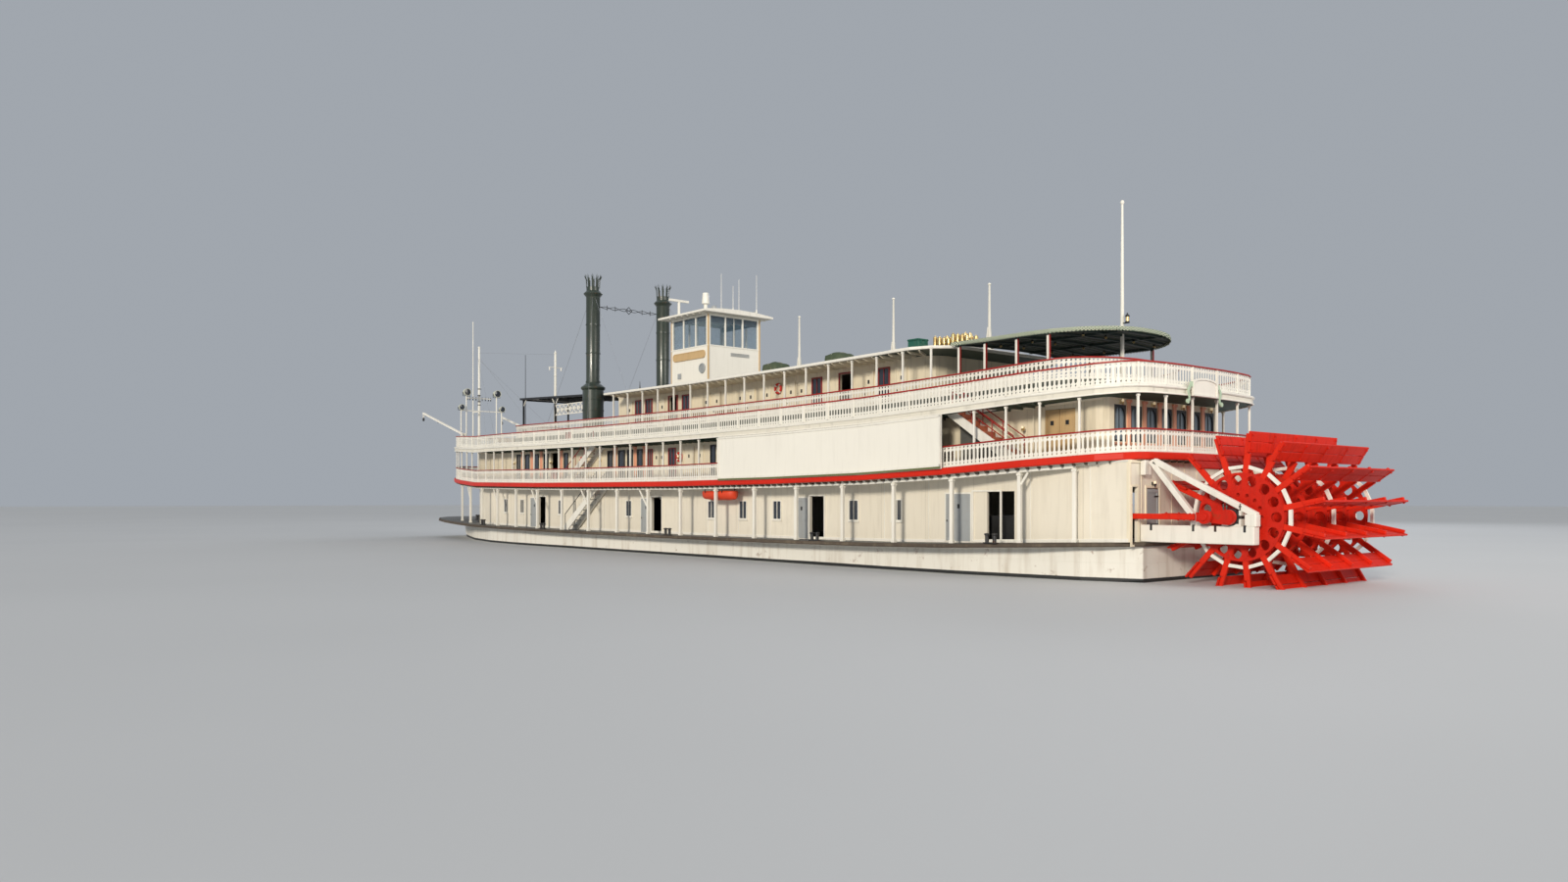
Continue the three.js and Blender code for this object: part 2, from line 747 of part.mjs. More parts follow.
function spreader() {
  const { s, y, pipe } = STACK;
  const reach = y - pipe - 0.6;
  const z = 1900;
  const rail = box([s - 4, s + 4], [-reach, reach], [z - 4, z + 4]);
  const waves = range(-200, 200, 100).map((w) => bar([s, w - 40, z], [s, w, z + 26], 6, 6));
  const back = range(-200, 200, 100).map((w) => bar([s, w + 40, z], [s, w, z + 26], 6, 6));
  return join([rail, ...waves, ...back]);
}

// The dark canopy forward of the roof, on posts, and the fore mast that rises through it
const CANOPY = { from: 4310, to: 6190, half: 215, z: 1248, thick: 10, rise: 76 };
const FORE_MAST = { s: 5995, top: 1700 };
function foreCanopy() {
  const { from, to, half, z, thick, rise } = CANOPY;
  const under = (s) => z + (rise * (s - from)) / (to - from);
  const cover = swept([from, to], -half, half, under, (s) => under(s) + thick);
  const deck = (s) => (s < 5700 ? above("inner")(s) : above("texas")(s + 6)) + 0.6;
  const posts = [4500, 5100, 5620, 6150].flatMap((s) =>
    [1, -1].map((side) => {
      const y = side * (half - 12);
      return box([s - 6, s + 6], [y - 6, y + 6], [deck(s), under(s) + 4]);
    }));
  const hole = upright(FORE_MAST.s, 0, z - 20, z + rise + 40, 15, 15, 12);
  return join([cover, ...posts]).subtract(hole);
}

function foreMast() {
  const { s, top } = FORE_MAST;
  const foot = above("texas", SEAT)(s + 24);
  return upright(s, 0, foot, foot + 12, 24, 24, 12).add(upright(s, 0, foot + 8, top, 14, 9, 10));
}

// The aft awning: a crowned sheet with a rounded after end, and the frame under it
const AWNING = { z: 1240, thick: 5, posts: [840, 1010, 1190, 1345], y: 406, crown: 15, half: 430 };
const AWNING_PLAN = [
  [600, 60],
  [608, 130],
  [630, 205],
  [665, 275],
  [715, 340],
  [770, 385],
  [830, 415],
  [900, 430],
  [1375, 430],
];
const STAFF = { s: 740, top: 1840 };

// A strip across the boat that follows the awning's crown
function crowned(places, half, low, high) {
  const last = places.length - 1;
  const g = new THREE.BoxGeometry(1, 1, 1, last, 4, 1);
  const p = g.attributes.position;
  for (let i = 0; i < p.count; i++) {
    const s = places[Math.round((p.getX(i) + 0.5) * last)];
    const y = 2 * p.getY(i) * asFunction(half)(s);
    const lift = AWNING.crown * (1 - (y / AWNING.half) ** 2);
    p.setXYZ(i, s, y, AWNING.z + lift + (p.getZ(i) < 0 ? low : high));
  }
  return solid(g);
}

function aftAwning() {
  const { z, thick } = AWNING;
  const places = AWNING_PLAN.map(([s]) => s);
  const cover = crowned(places, (s) => read(AWNING_PLAN, s), 0, thick);
  return cover.subtract(upright(STAFF.s, 0, z - 20, z + 40, 14, 14, 12));
}

function awningFrame() {
  const { z, posts, y } = AWNING;
  const ribs = [[645, 190], [STAFF.s, 330], ...posts.map((s) => [s, y])];
  const beams = [-y, y].map((side) => box([834, 1365], [side - 5, side + 5], [z - 12, z + 0.4]));
  const stringers = [-150, 150].map((side) => box([625, 1365], [side - 5, side + 5], [z, z + 11.6]));
  const ties = ribs.map(([s, half]) => crowned([s - 5, s + 5], half, -12, -0.7));
  const legs = posts.flatMap((s) => [-y, y].map((side) =>
    box([s - 6, s + 6], [side - 6, side + 6], [above("inner")(s - 6) + 0.5, z - 1])));
  return join([...beams, ...stringers, ...ties, ...legs])
    .subtract(upright(STAFF.s, 0, z - 20, z + 40, 9.5, 9.5, 12));
}

function aftStaff() {
  const foot = above("inner", SEAT)(STAFF.s - 20);
  return upright(STAFF.s, 0, foot, foot + 14, 20, 20, 12)
    .add(upright(STAFF.s, 0, foot + 10, STAFF.top, 10, 5, 10));
}

// The calliope: two rows of whistles on a steam box
function calliope() {
  const z = above("crown")(1700) + 0.8;
  const chest = box([1600, 1850], [-60, 60], [z + 30, z + 48]);
  const legs = [1620, 1830].flatMap((s) =>
    [-50, 50].map((y) => box([s - 5, s + 5], [y - 5, y + 5], [above("crown")(s - 5) + 0.5, z + 34])));
  const pipes = range(1615, 1835, 31).flatMap((s, i) =>
    [-35, 35].map((y) => upright(s, y, z + 44, z + 90 + 7 * (i % 4), 9, 9, 6)));
  return join([chest, ...legs, ...pipes]);
}

// Sign board on the guard, blank
const SIGN = { from: 1190, to: 2820, gap: 0.4 };
function signBoard() {
  const y = 700 + SIGN.gap;
  const top = above("texas", -TEXAS_THICK - 6);
  return swept(stations(SIGN.from, SIGN.to), y, y + 12, above("boiler", -4), top);
}

// Bow fittings
const BOOM = { s: 6900, y: 385, pivot: 100, length: 900, lift: 15, pin: 4, bore: 4.8 };
const boomFoot = above("texas", 2 * SEAT)(BOOM.s + 16);
function boomPost() {
  const foot = boomFoot;
  const z = foot + BOOM.pivot;
  const post = upright(BOOM.s, BOOM.y, foot, z - 2, 16, 13, 16);
  const cheeks = [-16, 10].map((dy) =>
    box([BOOM.s - 12, BOOM.s + 14], [BOOM.y + dy, BOOM.y + dy + 6], [z - 8, z + 24]));
  const saddle = box([BOOM.s - 12, BOOM.s + 14], [BOOM.y - 16, BOOM.y + 16], [z - 8, z - 2]);
  const pin = across(BOOM.s, z + 12, BOOM.y - 16, BOOM.y + 16, BOOM.pin, 12);
  return join([post, saddle, pin, ...cheeks]);
}

function boom() {
  const z = boomFoot + BOOM.pivot + 12;
  const lift = THREE.MathUtils.degToRad(BOOM.lift);
  const tip = [BOOM.s + Math.cos(lift) * BOOM.length, BOOM.y, z + Math.sin(lift) * BOOM.length];
  const spar = bar([BOOM.s - Math.cos(lift) * 7, BOOM.y, z - Math.sin(lift) * 7], tip, 15, 16);
  const hook = box([tip[0] - 6, tip[0] + 2], [BOOM.y - 4, BOOM.y + 4], [tip[2] - 60, tip[2]]);
  return spar.add(hook).subtract(across(BOOM.s, z, BOOM.y - 20, BOOM.y + 20, BOOM.bore, 16));
}

const BOW_MAST = { lamps: 7380, thick: 7430, tall: 7560 };
function bowMast() {
  const { lamps, thick, tall } = BOW_MAST;
  const [deck, top] = [above("texas", 2 * SEAT), above("texas", 14)];
  const base = swept([lamps - 25, lamps + 25], -205, 205, deck, top);
  const keel = swept(stations(lamps, tall + 10), -24, 24, deck, top);
  const masts = [
    upright(thick, 0, top(thick) - 4, 1890, 13, 9, 10),
    upright(tall, 0, top(tall) - 4, 2150, 7, 4, 8),
  ];
  const yard = box([thick - 4, thick + 4], [-115, 115], [1430, 1438]);
  const link = box([thick, tall], [-4, 4], [1310, 1318]);
  const shelf = box([lamps - 4, thick + 4], [-4, 4], [1310, 1318]);
  const bar = box([lamps - 4, lamps + 4], [-200, 200], [1310, 1318]);
  // Columns with a lamp head each: [across, head's foot, head's top, radius]
  const columns = [[145, 1455, 1500, 20], [195, 1322, 1358, 16]].flatMap(([y, foot, head, radius]) =>
    [y, -y].flatMap((at) => [upright(lamps, at, top(lamps) - 4, foot + 4, 6, 6, 8),
      upright(lamps, at, foot, head, radius, radius, 12)]));
  return join([base, keel, yard, link, shelf, bar, ...masts, ...columns]);
}

// The boat
const boat = new THREE.Group();
boat.position.x = SHAFT_X;

function add(name, body, colour, metalness = 0.1, roughness = 0.55) {
  const material = new THREE.MeshStandardMaterial({ color: colour, metalness, roughness });
  const mesh = new THREE.Mesh(geometryOf(body), material);
  mesh.name = name;
  boat.add(mesh);
  return mesh;
}

// A port piece and its mirror image to starboard
function addPair(name, body, colour, metalness, roughness) {
  const port = add(name + "_port", body, colour, metalness, roughness);
  const starboard = add(name + "_starboard", body, colour, metalness, roughness);
  starboard.scale.y = -1;
  return [port, starboard];
}

add("hull", hull(), WHITE);
add("main_deck", mainDeck(), GREY);
add("main_house_aft", mainHouse(0, HOUSE_JOINT - SEAT), WHITE);
add("main_house_fore", mainHouse(HOUSE_JOINT + SEAT, 7000), WHITE);
add("aft_door", aftDoor(), GREY);
addPair("engine_block", engineBlock(), DARK);
add("boiler_block", boilerBlock(), DARK);
addPair("wheel_timbers", wheelTimbers(), WHITE);
add("paddle_wheel", paddleWheel(), RED).position.z = WHEEL.z;
add("pitman_port", pitman(), RED).position.set(CRANK.radius, 0, WHEEL.z);
const starboardPitman = add("pitman_starboard", pitman(), RED);
starboardPitman.scale.y = -1;
starboardPitman.position.set(0, 0, WHEEL.z + CRANK.radius);
[["port", 1], ["middle", 0], ["starboard", -1]].forEach(([side, k]) => {
  add("rudder_" + side, rudder(), RED).position.set(RUDDER.s, k * RUDDER.y, 0);
});
addPair("main_posts", mainPosts(), WHITE);
add("boiler_deck", boilerDeck(), RED);
addPair("stair_main", stair("main"), WHITE);
addPair("boiler_rail", boilerRail(), WHITE);
add("boiler_cabin", boilerCabin(), CREAM);
addPair("cabin_door_aft", cabinLeaf(-1), TAN);
addPair("cabin_door_fore", cabinLeaf(1), TAN);
addPair("sign_board", signBoard(), WHITE);
add("texas_deck", texasDeck(), WHITE);
addPair("stair_aft", stair("aft"), RED);
addPair("stair_fore", stair("fore"), WHITE);
addPair("texas_rail", texasRail(), WHITE);
add("inner_deck", innerDeck(), WHITE);
addPair("inner_rail", innerRail(), WHITE);
add("texas_cabin", texasCabin(), CREAM);
add("texas_roof", texasRoof(), WHITE);
add("pilothouse", pilothouse(), WHITE);
add("pilothouse_door", pilotDoor(), TAN);
add("pilothouse_roof", pilothouseRoof(), WHITE);
addPair("stack", stack(), DARK, 0.4);
add("stack_spreader", spreader(), DARK, 0.4);
add("fore_canopy", foreCanopy(), DARK);
add("fore_mast", foreMast(), WHITE);
add("aft_awning", aftAwning(), GREEN, 0, 0.9);
add("awning_frame", awningFrame(), WHITE);
add("aft_staff", aftStaff(), WHITE);
add("calliope", calliope(), BRASS, 0.8, 0.35);
addPair("boom_post", boomPost(), WHITE);
addPair("boom", boom(), WHITE);
add("bow_mast", bowMast(), WHITE);

export default boat;
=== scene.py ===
# %% [markdown]
# # A stern-wheel paddle steamer, dressed for a portrait
#
# The solids of the boat come packed as a fixed frame: every deck, wall and joint is already at its real
# place, in metres, at a tenth of full size. This lesson dresses them. It starts with a few helpers, then
# paints, and then goes round the boat from the wheel to the bow, one piece at a time.

import math

import bmesh
import bpy
from mathutils import Matrix, Vector, noise


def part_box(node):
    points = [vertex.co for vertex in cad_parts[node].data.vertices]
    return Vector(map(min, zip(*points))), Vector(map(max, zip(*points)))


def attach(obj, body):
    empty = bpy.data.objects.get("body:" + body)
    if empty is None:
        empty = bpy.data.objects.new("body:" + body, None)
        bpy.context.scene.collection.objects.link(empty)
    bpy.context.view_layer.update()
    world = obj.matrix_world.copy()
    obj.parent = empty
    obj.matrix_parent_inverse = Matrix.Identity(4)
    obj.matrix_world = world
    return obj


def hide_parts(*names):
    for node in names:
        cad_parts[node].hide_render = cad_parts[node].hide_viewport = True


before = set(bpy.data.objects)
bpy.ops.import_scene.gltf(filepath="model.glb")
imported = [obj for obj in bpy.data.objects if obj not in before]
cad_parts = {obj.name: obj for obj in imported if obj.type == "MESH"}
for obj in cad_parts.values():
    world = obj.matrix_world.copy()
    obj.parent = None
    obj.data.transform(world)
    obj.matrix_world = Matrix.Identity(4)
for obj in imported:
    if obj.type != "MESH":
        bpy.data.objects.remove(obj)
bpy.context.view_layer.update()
WATERLINE = 0.18
SHAFT = Vector((-3.715, 0.0, 0.445))
RIM_SLACK = 0.0012

# %% [markdown]
# ## Places
#
# A shipwright measures along the boat from one fixed point. Here that point is the wheel's shaft, and a
# station is the distance forward of it. Decks rise towards both ends, so a height is never a bare
# number: it is read from the deck that carries the piece. Reading the rim of a deck from its own mesh
# keeps every rail on its deck, even if the solid changes later.


# %% Stations, deck rims and heights
def at(station):
    return station + SHAFT.x


def rim_of(node):
    """The port edge of a deck's top, from the stern's centre line to the bow's."""
    columns = {}
    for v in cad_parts[node].data.vertices:
        if v.co.y > 0.001:
            columns.setdefault(round(v.co.x, 4), []).append(v.co)
    tops = []
    for x in sorted(columns):
        wide = max(c.y for c in columns[x])
        tops.append(Vector((x, wide, max(c.z for c in columns[x] if c.y > wide - 0.002))))
    hull = []
    for p in tops:
        while len(hull) > 1 and turn(hull[-2], hull[-1], p) > 1e-7:
            hull.pop()
        hull.append(p)
    ends = [Vector((hull[0].x, 0.0, hull[0].z)), Vector((hull[-1].x, 0.0, hull[-1].z))]
    return [ends[0], *[p for p in tops if near_line(p, hull)], ends[1]]


def turn(a, b, c):
    return (b.x - a.x) * (c.y - a.y) - (b.y - a.y) * (c.x - a.x)


def near_line(p, line):
    for a, b in zip(line, line[1:]):
        if a.x - 1e-5 <= p.x <= b.x + 1e-5:
            share = (p.x - a.x) / max(b.x - a.x, 1e-6)
            if abs(a.y + share * (b.y - a.y) - p.y) < RIM_SLACK or b.x - a.x < 1e-3:
                return True
    return False


RIM = {name: rim_of(name) for name in ("main_deck", "boiler_deck", "texas_deck", "inner_deck", "texas_roof")}
print({name: len(points) for name, points in RIM.items()})


# %% Height of a deck's top at a station
def deck_top(node, x):
    line = RIM[node]
    for a, b in zip(line, line[1:]):
        if b.x >= x and b.x > a.x:
            share = min(max((x - a.x) / (b.x - a.x), 0.0), 1.0)
            return a.z + share * (b.z - a.z)
    return line[-1].z


def deck_at(node, station):
    return deck_top(node, at(station))


def half_breadth(node, x):
    line = RIM[node]
    for a, b in zip(line, line[1:]):
        if b.x >= x and b.x > a.x + 1e-4:
            share = min(max((x - a.x) / (b.x - a.x), 0.0), 1.0)
            return a.y + share * (b.y - a.y)
    return line[-2].y


print("texas deck amidships", round(deck_top("texas_deck", 0.0), 3),
      round(half_breadth("texas_deck", 0.0), 3))

# %% [markdown]
# ## A path to build along
#
# Rails, caps and mouldings follow a deck's rim at a fixed distance inside it. A path moves each corner
# along its mitre, as a joiner cuts a skirting board, and then hands out places at equal steps.


# %% Paths
class Path:
    def __init__(self, points):
        self.points = [p.copy() for p in points]
        self.lengths = [0.0]
        for a, b in zip(self.points, self.points[1:]):
            self.lengths.append(self.lengths[-1] + (b - a).length)
        self.length = self.lengths[-1]

    def inset(self, distance):
        moved = []
        for i, p in enumerate(self.points):
            side, scale = self.side(i)
            moved.append(p + side * distance * scale)
            moved[-1].y = max(moved[-1].y, 0.0)
        return Path(moved)

    def side(self, i):
        """Inward direction at a corner, and how much longer its mitre is."""
        first, last = i == 0, i == len(self.points) - 1
        a = self.points[i] - self.points[i - 1] if not first else None
        b = self.points[i + 1] - self.points[i] if not last else None
        ways = [w.xy.normalized() for w in (a, b) if w is not None]
        normals = [Vector((w.y, -w.x)) for w in ways]
        mean = sum(normals, Vector((0, 0))).normalized()
        if first or last:
            mean = Vector((1 if first else -1, 0)) if abs(normals[0].x) > 0.7 else mean
        return Vector((mean.x, mean.y, 0)), 1 / max(mean.dot(normals[0]), 0.3)

    def place(self, distance):
        """Point and level direction at a distance from the start."""
        distance = min(max(distance, 0.0), self.length)
        i = max(k for k, far in enumerate(self.lengths[:-1]) if far <= distance + 1e-9)
        a, b = self.points[i], self.points[i + 1]
        share = (distance - self.lengths[i]) / max((b - a).length, 1e-9)
        return a.lerp(b, share), (b - a).normalized()

    def steps(self, pitch):
        """Distances at about that pitch, with half a pitch at both ends."""
        count = max(round(self.length / pitch), 1)
        step = self.length / count
        return [step * (i + 0.5) for i in range(count)]

    def cut(self, start, end):
        """The stretch between two distances."""
        inner = [p for p, far in zip(self.points, self.lengths) if start + 1e-4 < far < end - 1e-4]
        return Path([self.place(start)[0], *inner, self.place(end)[0]])

    def between(self, x0, x1):
        """The stretch between two values of x."""
        return self.cut(self.reach(x0), self.reach(x1))

    def reach(self, x):
        for i, (a, b) in enumerate(zip(self.points, self.points[1:])):
            if a.x <= x <= b.x and b.x > a.x:
                return self.lengths[i] + (b - a).length * (x - a.x) / (b.x - a.x)
        return self.length if x > self.points[-1].x else 0.0


def frame_at(point, along):
    """A turning matrix: local X runs along the path, local Y points outboard, Z is up."""
    level = Vector((along.x, along.y, 0)).normalized()
    out = Vector((-level.y, level.x, 0))
    m = Matrix((level, out, Vector((0, 0, 1)))).transposed().to_4x4()
    return Matrix.Translation(point) @ m


print("boiler deck rim", round(Path(RIM["boiler_deck"]).length, 3), "m long on each side")

# %% [markdown]
# ## Shapes
#
# Every new piece is a bmesh that starts from a primitive or a few points, and operators give it its
# form. A shape that comes hundreds of times is made once and stamped: a copy of its mesh is moved to
# each place and read into one larger bmesh.


# %% Small steps that every shape shares
def new_shape():
    return bmesh.new()


def shapes(count):
    return [new_shape() for _ in range(count)]


def turns(count):
    """Equal angles round a full turn."""
    return [math.tau * k / count for k in range(count)]


def shift(x, y, z):
    return Matrix.Translation((x, y, z))


def take_off_edges(bm, verts, chamfer):
    edges = list({e for v in verts for e in v.link_edges})
    bmesh.ops.bevel(bm, geom=edges, offset=chamfer, offset_type="OFFSET", segments=1, profile=0.5,
                    affect="EDGES", material=-1)


def thicken(bm, faces, way):
    """Extrudes flat faces; returns the new vertices."""
    grown = bmesh.ops.extrude_face_region(bm, geom=faces)["geom"]
    top = [v for v in grown if isinstance(v, bmesh.types.BMVert)]
    bmesh.ops.translate(bm, verts=top, vec=way)
    return top


def face_out(bm, verts, place=None):
    """Turns the faces of these vertices outwards, and moves them to their place."""
    bmesh.ops.recalc_face_normals(bm, faces=list({f for v in verts for f in v.link_faces}))
    if place is not None:
        bmesh.ops.transform(bm, matrix=place, verts=verts)


def weld(bm, before):
    """Joins the doubles among the vertices made since before, and returns what is left of them."""
    bmesh.ops.remove_doubles(bm, verts=[v for v in bm.verts if v not in before], dist=1e-6)
    return [v for v in bm.verts if v not in before]


# %% Blocks, bars and turned pieces
def block(bm, low, high, chamfer=0.0):
    """A box between two corners, with its edges taken off."""
    low, high = Vector(low), Vector(high)
    made = bmesh.ops.create_cube(bm, size=1.0,
                                 matrix=shift(*(low + high) / 2) @ Matrix.Diagonal((*(high - low), 1.0)))
    if chamfer:
        take_off_edges(bm, made["verts"], chamfer)
    return bm


def bar(bm, start, end, wide, thick=None, chamfer=0.0):
    """A straight square bar between two points; thick is its height."""
    start, end = Vector(start), Vector(end)
    thick = wide if thick is None else thick
    along = (end - start).normalized()
    helper = Vector((1, 0, 0)) if abs(along.z) > 0.99 else Vector((0, 0, 1))
    side = helper.cross(along).normalized()
    turned_by = Matrix((along, side, along.cross(side))).transposed().to_4x4()
    place = Matrix.Translation((start + end) / 2) @ turned_by
    size = Matrix.Diagonal(((end - start).length, wide, thick, 1))
    made = bmesh.ops.create_cube(bm, size=1.0, matrix=place @ size)
    if chamfer:
        take_off_edges(bm, made["verts"], chamfer)
    return bm


def rod(bm, start, end, radius, tip=None, sides=8):
    """A round bar between two points, tapered if tip is given."""
    start, end = Vector(start), Vector(end)
    along = end - start
    place = Matrix.Translation((start + end) / 2) @ along.to_track_quat("Z", "Y").to_matrix().to_4x4()
    bmesh.ops.create_cone(bm, cap_ends=True, cap_tris=False, segments=sides, radius1=radius,
                          radius2=radius if tip is None else tip, depth=along.length, matrix=place)
    return bm


def lathe(bm, profile, place=None, sides=16):
    """Turns [radius, height] pairs about the local Z axis; a radius of 0 closes an end."""
    verts = [bm.verts.new((r, 0.0, z)) for r, z in profile]
    edges = [bm.edges.new(pair) for pair in zip(verts, verts[1:])]
    before = set(bm.verts) - set(verts)
    bmesh.ops.spin(bm, geom=verts + edges, axis=(0, 0, 1), cent=(0, 0, 0), angle=math.tau, steps=sides,
                   use_merge=True)
    face_out(bm, weld(bm, before), place)
    return bm


def plate(bm, outline, thick, place=None):
    """A flat board: an outline in local X and Z, made thick towards local Y on both sides."""
    verts = [bm.verts.new((x, -thick / 2, z)) for x, z in outline]
    top = thicken(bm, [bm.faces.new(verts)], (0, thick, 0))
    face_out(bm, verts + top, place)
    return bm


def sweep(bm, path, section):
    """Draws a closed section of (outboard, up) points along a path, mitred at its corners."""
    loop = [*section, section[0]]
    rows, columns = len(path.points), len(loop)
    before = set(bm.verts)
    bmesh.ops.create_grid(bm, x_segments=rows - 1, y_segments=columns - 1, size=1.0)
    made = [v for v in bm.verts if v not in before]
    for v in made:
        i = round((v.co.x + 1) / 2 * (rows - 1))
        out, up = loop[round((v.co.y + 1) / 2 * (columns - 1))]
        side, scale = path.side(i)
        v.co = path.points[i] - side * out * scale + Vector((0, 0, up))
    made = weld(bm, before)
    open_edges = [e for e in {e for v in made for e in v.link_edges} if e.is_boundary]
    bmesh.ops.holes_fill(bm, edges=open_edges, sides=0)
    face_out(bm, made)
    return bm


print("helpers ready")


# %% Stamps and mirrors
def stamp(bm, shape, places):
    """Reads a copy of a small bmesh into bm at each place."""
    mesh = bpy.data.meshes.new("stamp")
    shape.to_mesh(mesh)
    for place in places:
        copy = mesh.copy()
        copy.transform(place)
        bm.from_mesh(copy)
        bpy.data.meshes.remove(copy)
    bpy.data.meshes.remove(mesh)
    return bm


def set_down(bm, part, place):
    """Reads a part into bm at one place, and clears it away."""
    stamp(bm, part, [place])
    part.free()


def mirrored(bm):
    """A copy of a bmesh on the other side of the centre line, facing the right way."""
    other = bm.copy()
    bmesh.ops.transform(other, matrix=Matrix.Diagonal((1, -1, 1, 1)), verts=other.verts)
    bmesh.ops.reverse_faces(other, faces=other.faces)
    return other


def both_sides(bm):
    """Adds the mirror image to the shape itself."""
    other = mirrored(bm)
    mesh = bpy.data.meshes.new("other")
    other.to_mesh(mesh)
    bm.from_mesh(mesh)
    bpy.data.meshes.remove(mesh)
    other.free()
    return bm


# %% Pieces
COUNT = {"pieces": 0, "triangles": 0}


def piece(name, bm, finish, body="boat", replaces=(), smooth=None):
    """Makes the finished object, gives it its paint and sets it on its body."""
    mesh = bpy.data.meshes.new(name)
    for f in bm.faces:
        f.smooth = smooth is not None
    COUNT["triangles"] += sum(len(f.verts) - 2 for f in bm.faces)
    COUNT["pieces"] += 1
    bm.to_mesh(mesh)
    bm.free()
    if smooth is not None:
        mesh.set_sharp_from_angle(angle=math.radians(smooth))
    mesh.materials.append(paints[finish])
    made = bpy.data.objects.new(name, mesh)
    bpy.context.scene.collection.objects.link(made)
    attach(made, body)
    if replaces:
        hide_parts(*replaces)
    return made


def pair(name, bm, finish, bodies=("boat", "boat"), replaces=(), smooth=None, slot=None):
    """A port piece and its mirror image to starboard; replaces names the CAD nodes without their side."""
    for side, shape, body in (("port", bm, bodies[0]), ("starboard", mirrored(bm), bodies[1])):
        gone = [f"{node}_{side}" for node in replaces]
        piece(f"{name}_{side}", shape, finish, body, gone, smooth)


print("ready to build")

# %% [markdown]
# ## Paint as sums
#
# A painted wall is never one colour: sun fades it in patches, rain draws streaks down it, and brush
# marks catch the light. Each of those is a small formula on the place of a point. To keep the formulas
# readable, a socket is wrapped in a class that knows the signs of arithmetic, so that a line such as
# `1 - mask * 0.5` adds the Math nodes that it needs.


# %% A socket that can be used in sums
class Wire:
    def __init__(self, finish, socket):
        self.finish = finish
        self.socket = socket

    def _math(self, operation, *values):
        return self.finish.node("ShaderNodeMath", {"operation": operation}, values)

    def __add__(self, other):
        return self._math("ADD", self, other)

    def __radd__(self, other):
        return self._math("ADD", other, self)

    def __sub__(self, other):
        return self._math("SUBTRACT", self, other)

    def __rsub__(self, other):
        return self._math("SUBTRACT", other, self)

    def __mul__(self, other):
        return self._math("MULTIPLY", self, other)

    def __rmul__(self, other):
        return self._math("MULTIPLY", other, self)

    def __truediv__(self, other):
        return self._math("DIVIDE", self, other)

    def __lt__(self, other):
        return self._math("LESS_THAN", self, other)

    def __gt__(self, other):
        return self._math("GREATER_THAN", self, other)

    def __abs__(self):
        return self._math("ABSOLUTE", self)

    def wrap(self, length):
        """Runs up and down between 0 and half the length."""
        return self._math("PINGPONG", self, length / 2)

    def steps(self, size):
        return self._math("FLOOR", self / size)

    def clamp(self):
        return self.finish.node("ShaderNodeClamp", {}, [self, 0.0, 1.0])


# %% A material that is built from sums
class Finish:
    def __init__(self, name):
        self.material = bpy.data.materials.new(name)
        self.material.use_nodes = True
        self.tree = self.material.node_tree
        self.shader = next(n for n in self.tree.nodes if n.type == "BSDF_PRINCIPLED")
        self.place = self.node("ShaderNodeTexCoord", out="Object")
        self.facing = self.node("ShaderNodeTexCoord", out="Normal")

    def node(self, kind, settings=None, values=None, out=0):
        made = self.tree.nodes.new(kind)
        for key, value in (settings or {}).items():
            setattr(made, key, value)
        pairs = values.items() if isinstance(values, dict) else enumerate(values or ())
        for key, value in pairs:
            self._feed(made.inputs[key], value)
        return Wire(self, made.outputs[out])

    def _feed(self, socket, value):
        if isinstance(value, Wire):
            self.tree.links.new(value.socket, socket)
        elif hasattr(value, "__len__") and socket.type == "RGBA":
            socket.default_value = (*value[:3], 1.0)
        else:
            socket.default_value = value

    def set(self, **sockets):
        """Feeds the shader: an underscore in a name stands for a space."""
        for name, value in sockets.items():
            self._feed(self.shader.inputs[name.replace("_", " ")], value)
        return self

    def mix(self, mask, a, b):
        return self.node("ShaderNodeMix", {"data_type": "RGBA"}, {0: mask, 6: a, 7: b}, out=2)

    def stretch(self, x, y, z):
        return self.node("ShaderNodeVectorMath", {"operation": "MULTIPLY"}, [self.place, (x, y, z)])

    def axis(self, name, of=None):
        return self.node("ShaderNodeSeparateXYZ", {}, [of or self.place], out=name)

    def grain(self, scale, detail=2.0, where=None, roughness=0.5):
        return self.node("ShaderNodeTexNoise", {}, {"Vector": where or self.place, "Scale": scale,
                                                    "Detail": detail, "Roughness": roughness})

    def cells(self, scale):
        return self.node("ShaderNodeTexVoronoi", {}, {"Vector": self.place, "Scale": scale})

    def relief(self, height, depth, strength=0.6):
        bump = self.node("ShaderNodeBump", {}, {"Strength": strength, "Distance": depth, "Height": height})
        return self.set(Normal=bump)


print("sums ready")

# %% [markdown]
# ## The boat's paints
#
# Nearly everything on a river boat is oil paint on boards or plate. One recipe covers them all: a colour
# that fades in broad patches, fine brush marks in the relief, streaks that run down the walls, and grime
# that gathers in the broad patches. Boards add a groove at a fixed pitch. What differs from paint to
# paint stands in one table.


# %% The paint recipe
def darker(colour, share):
    return tuple(c * share for c in colour)


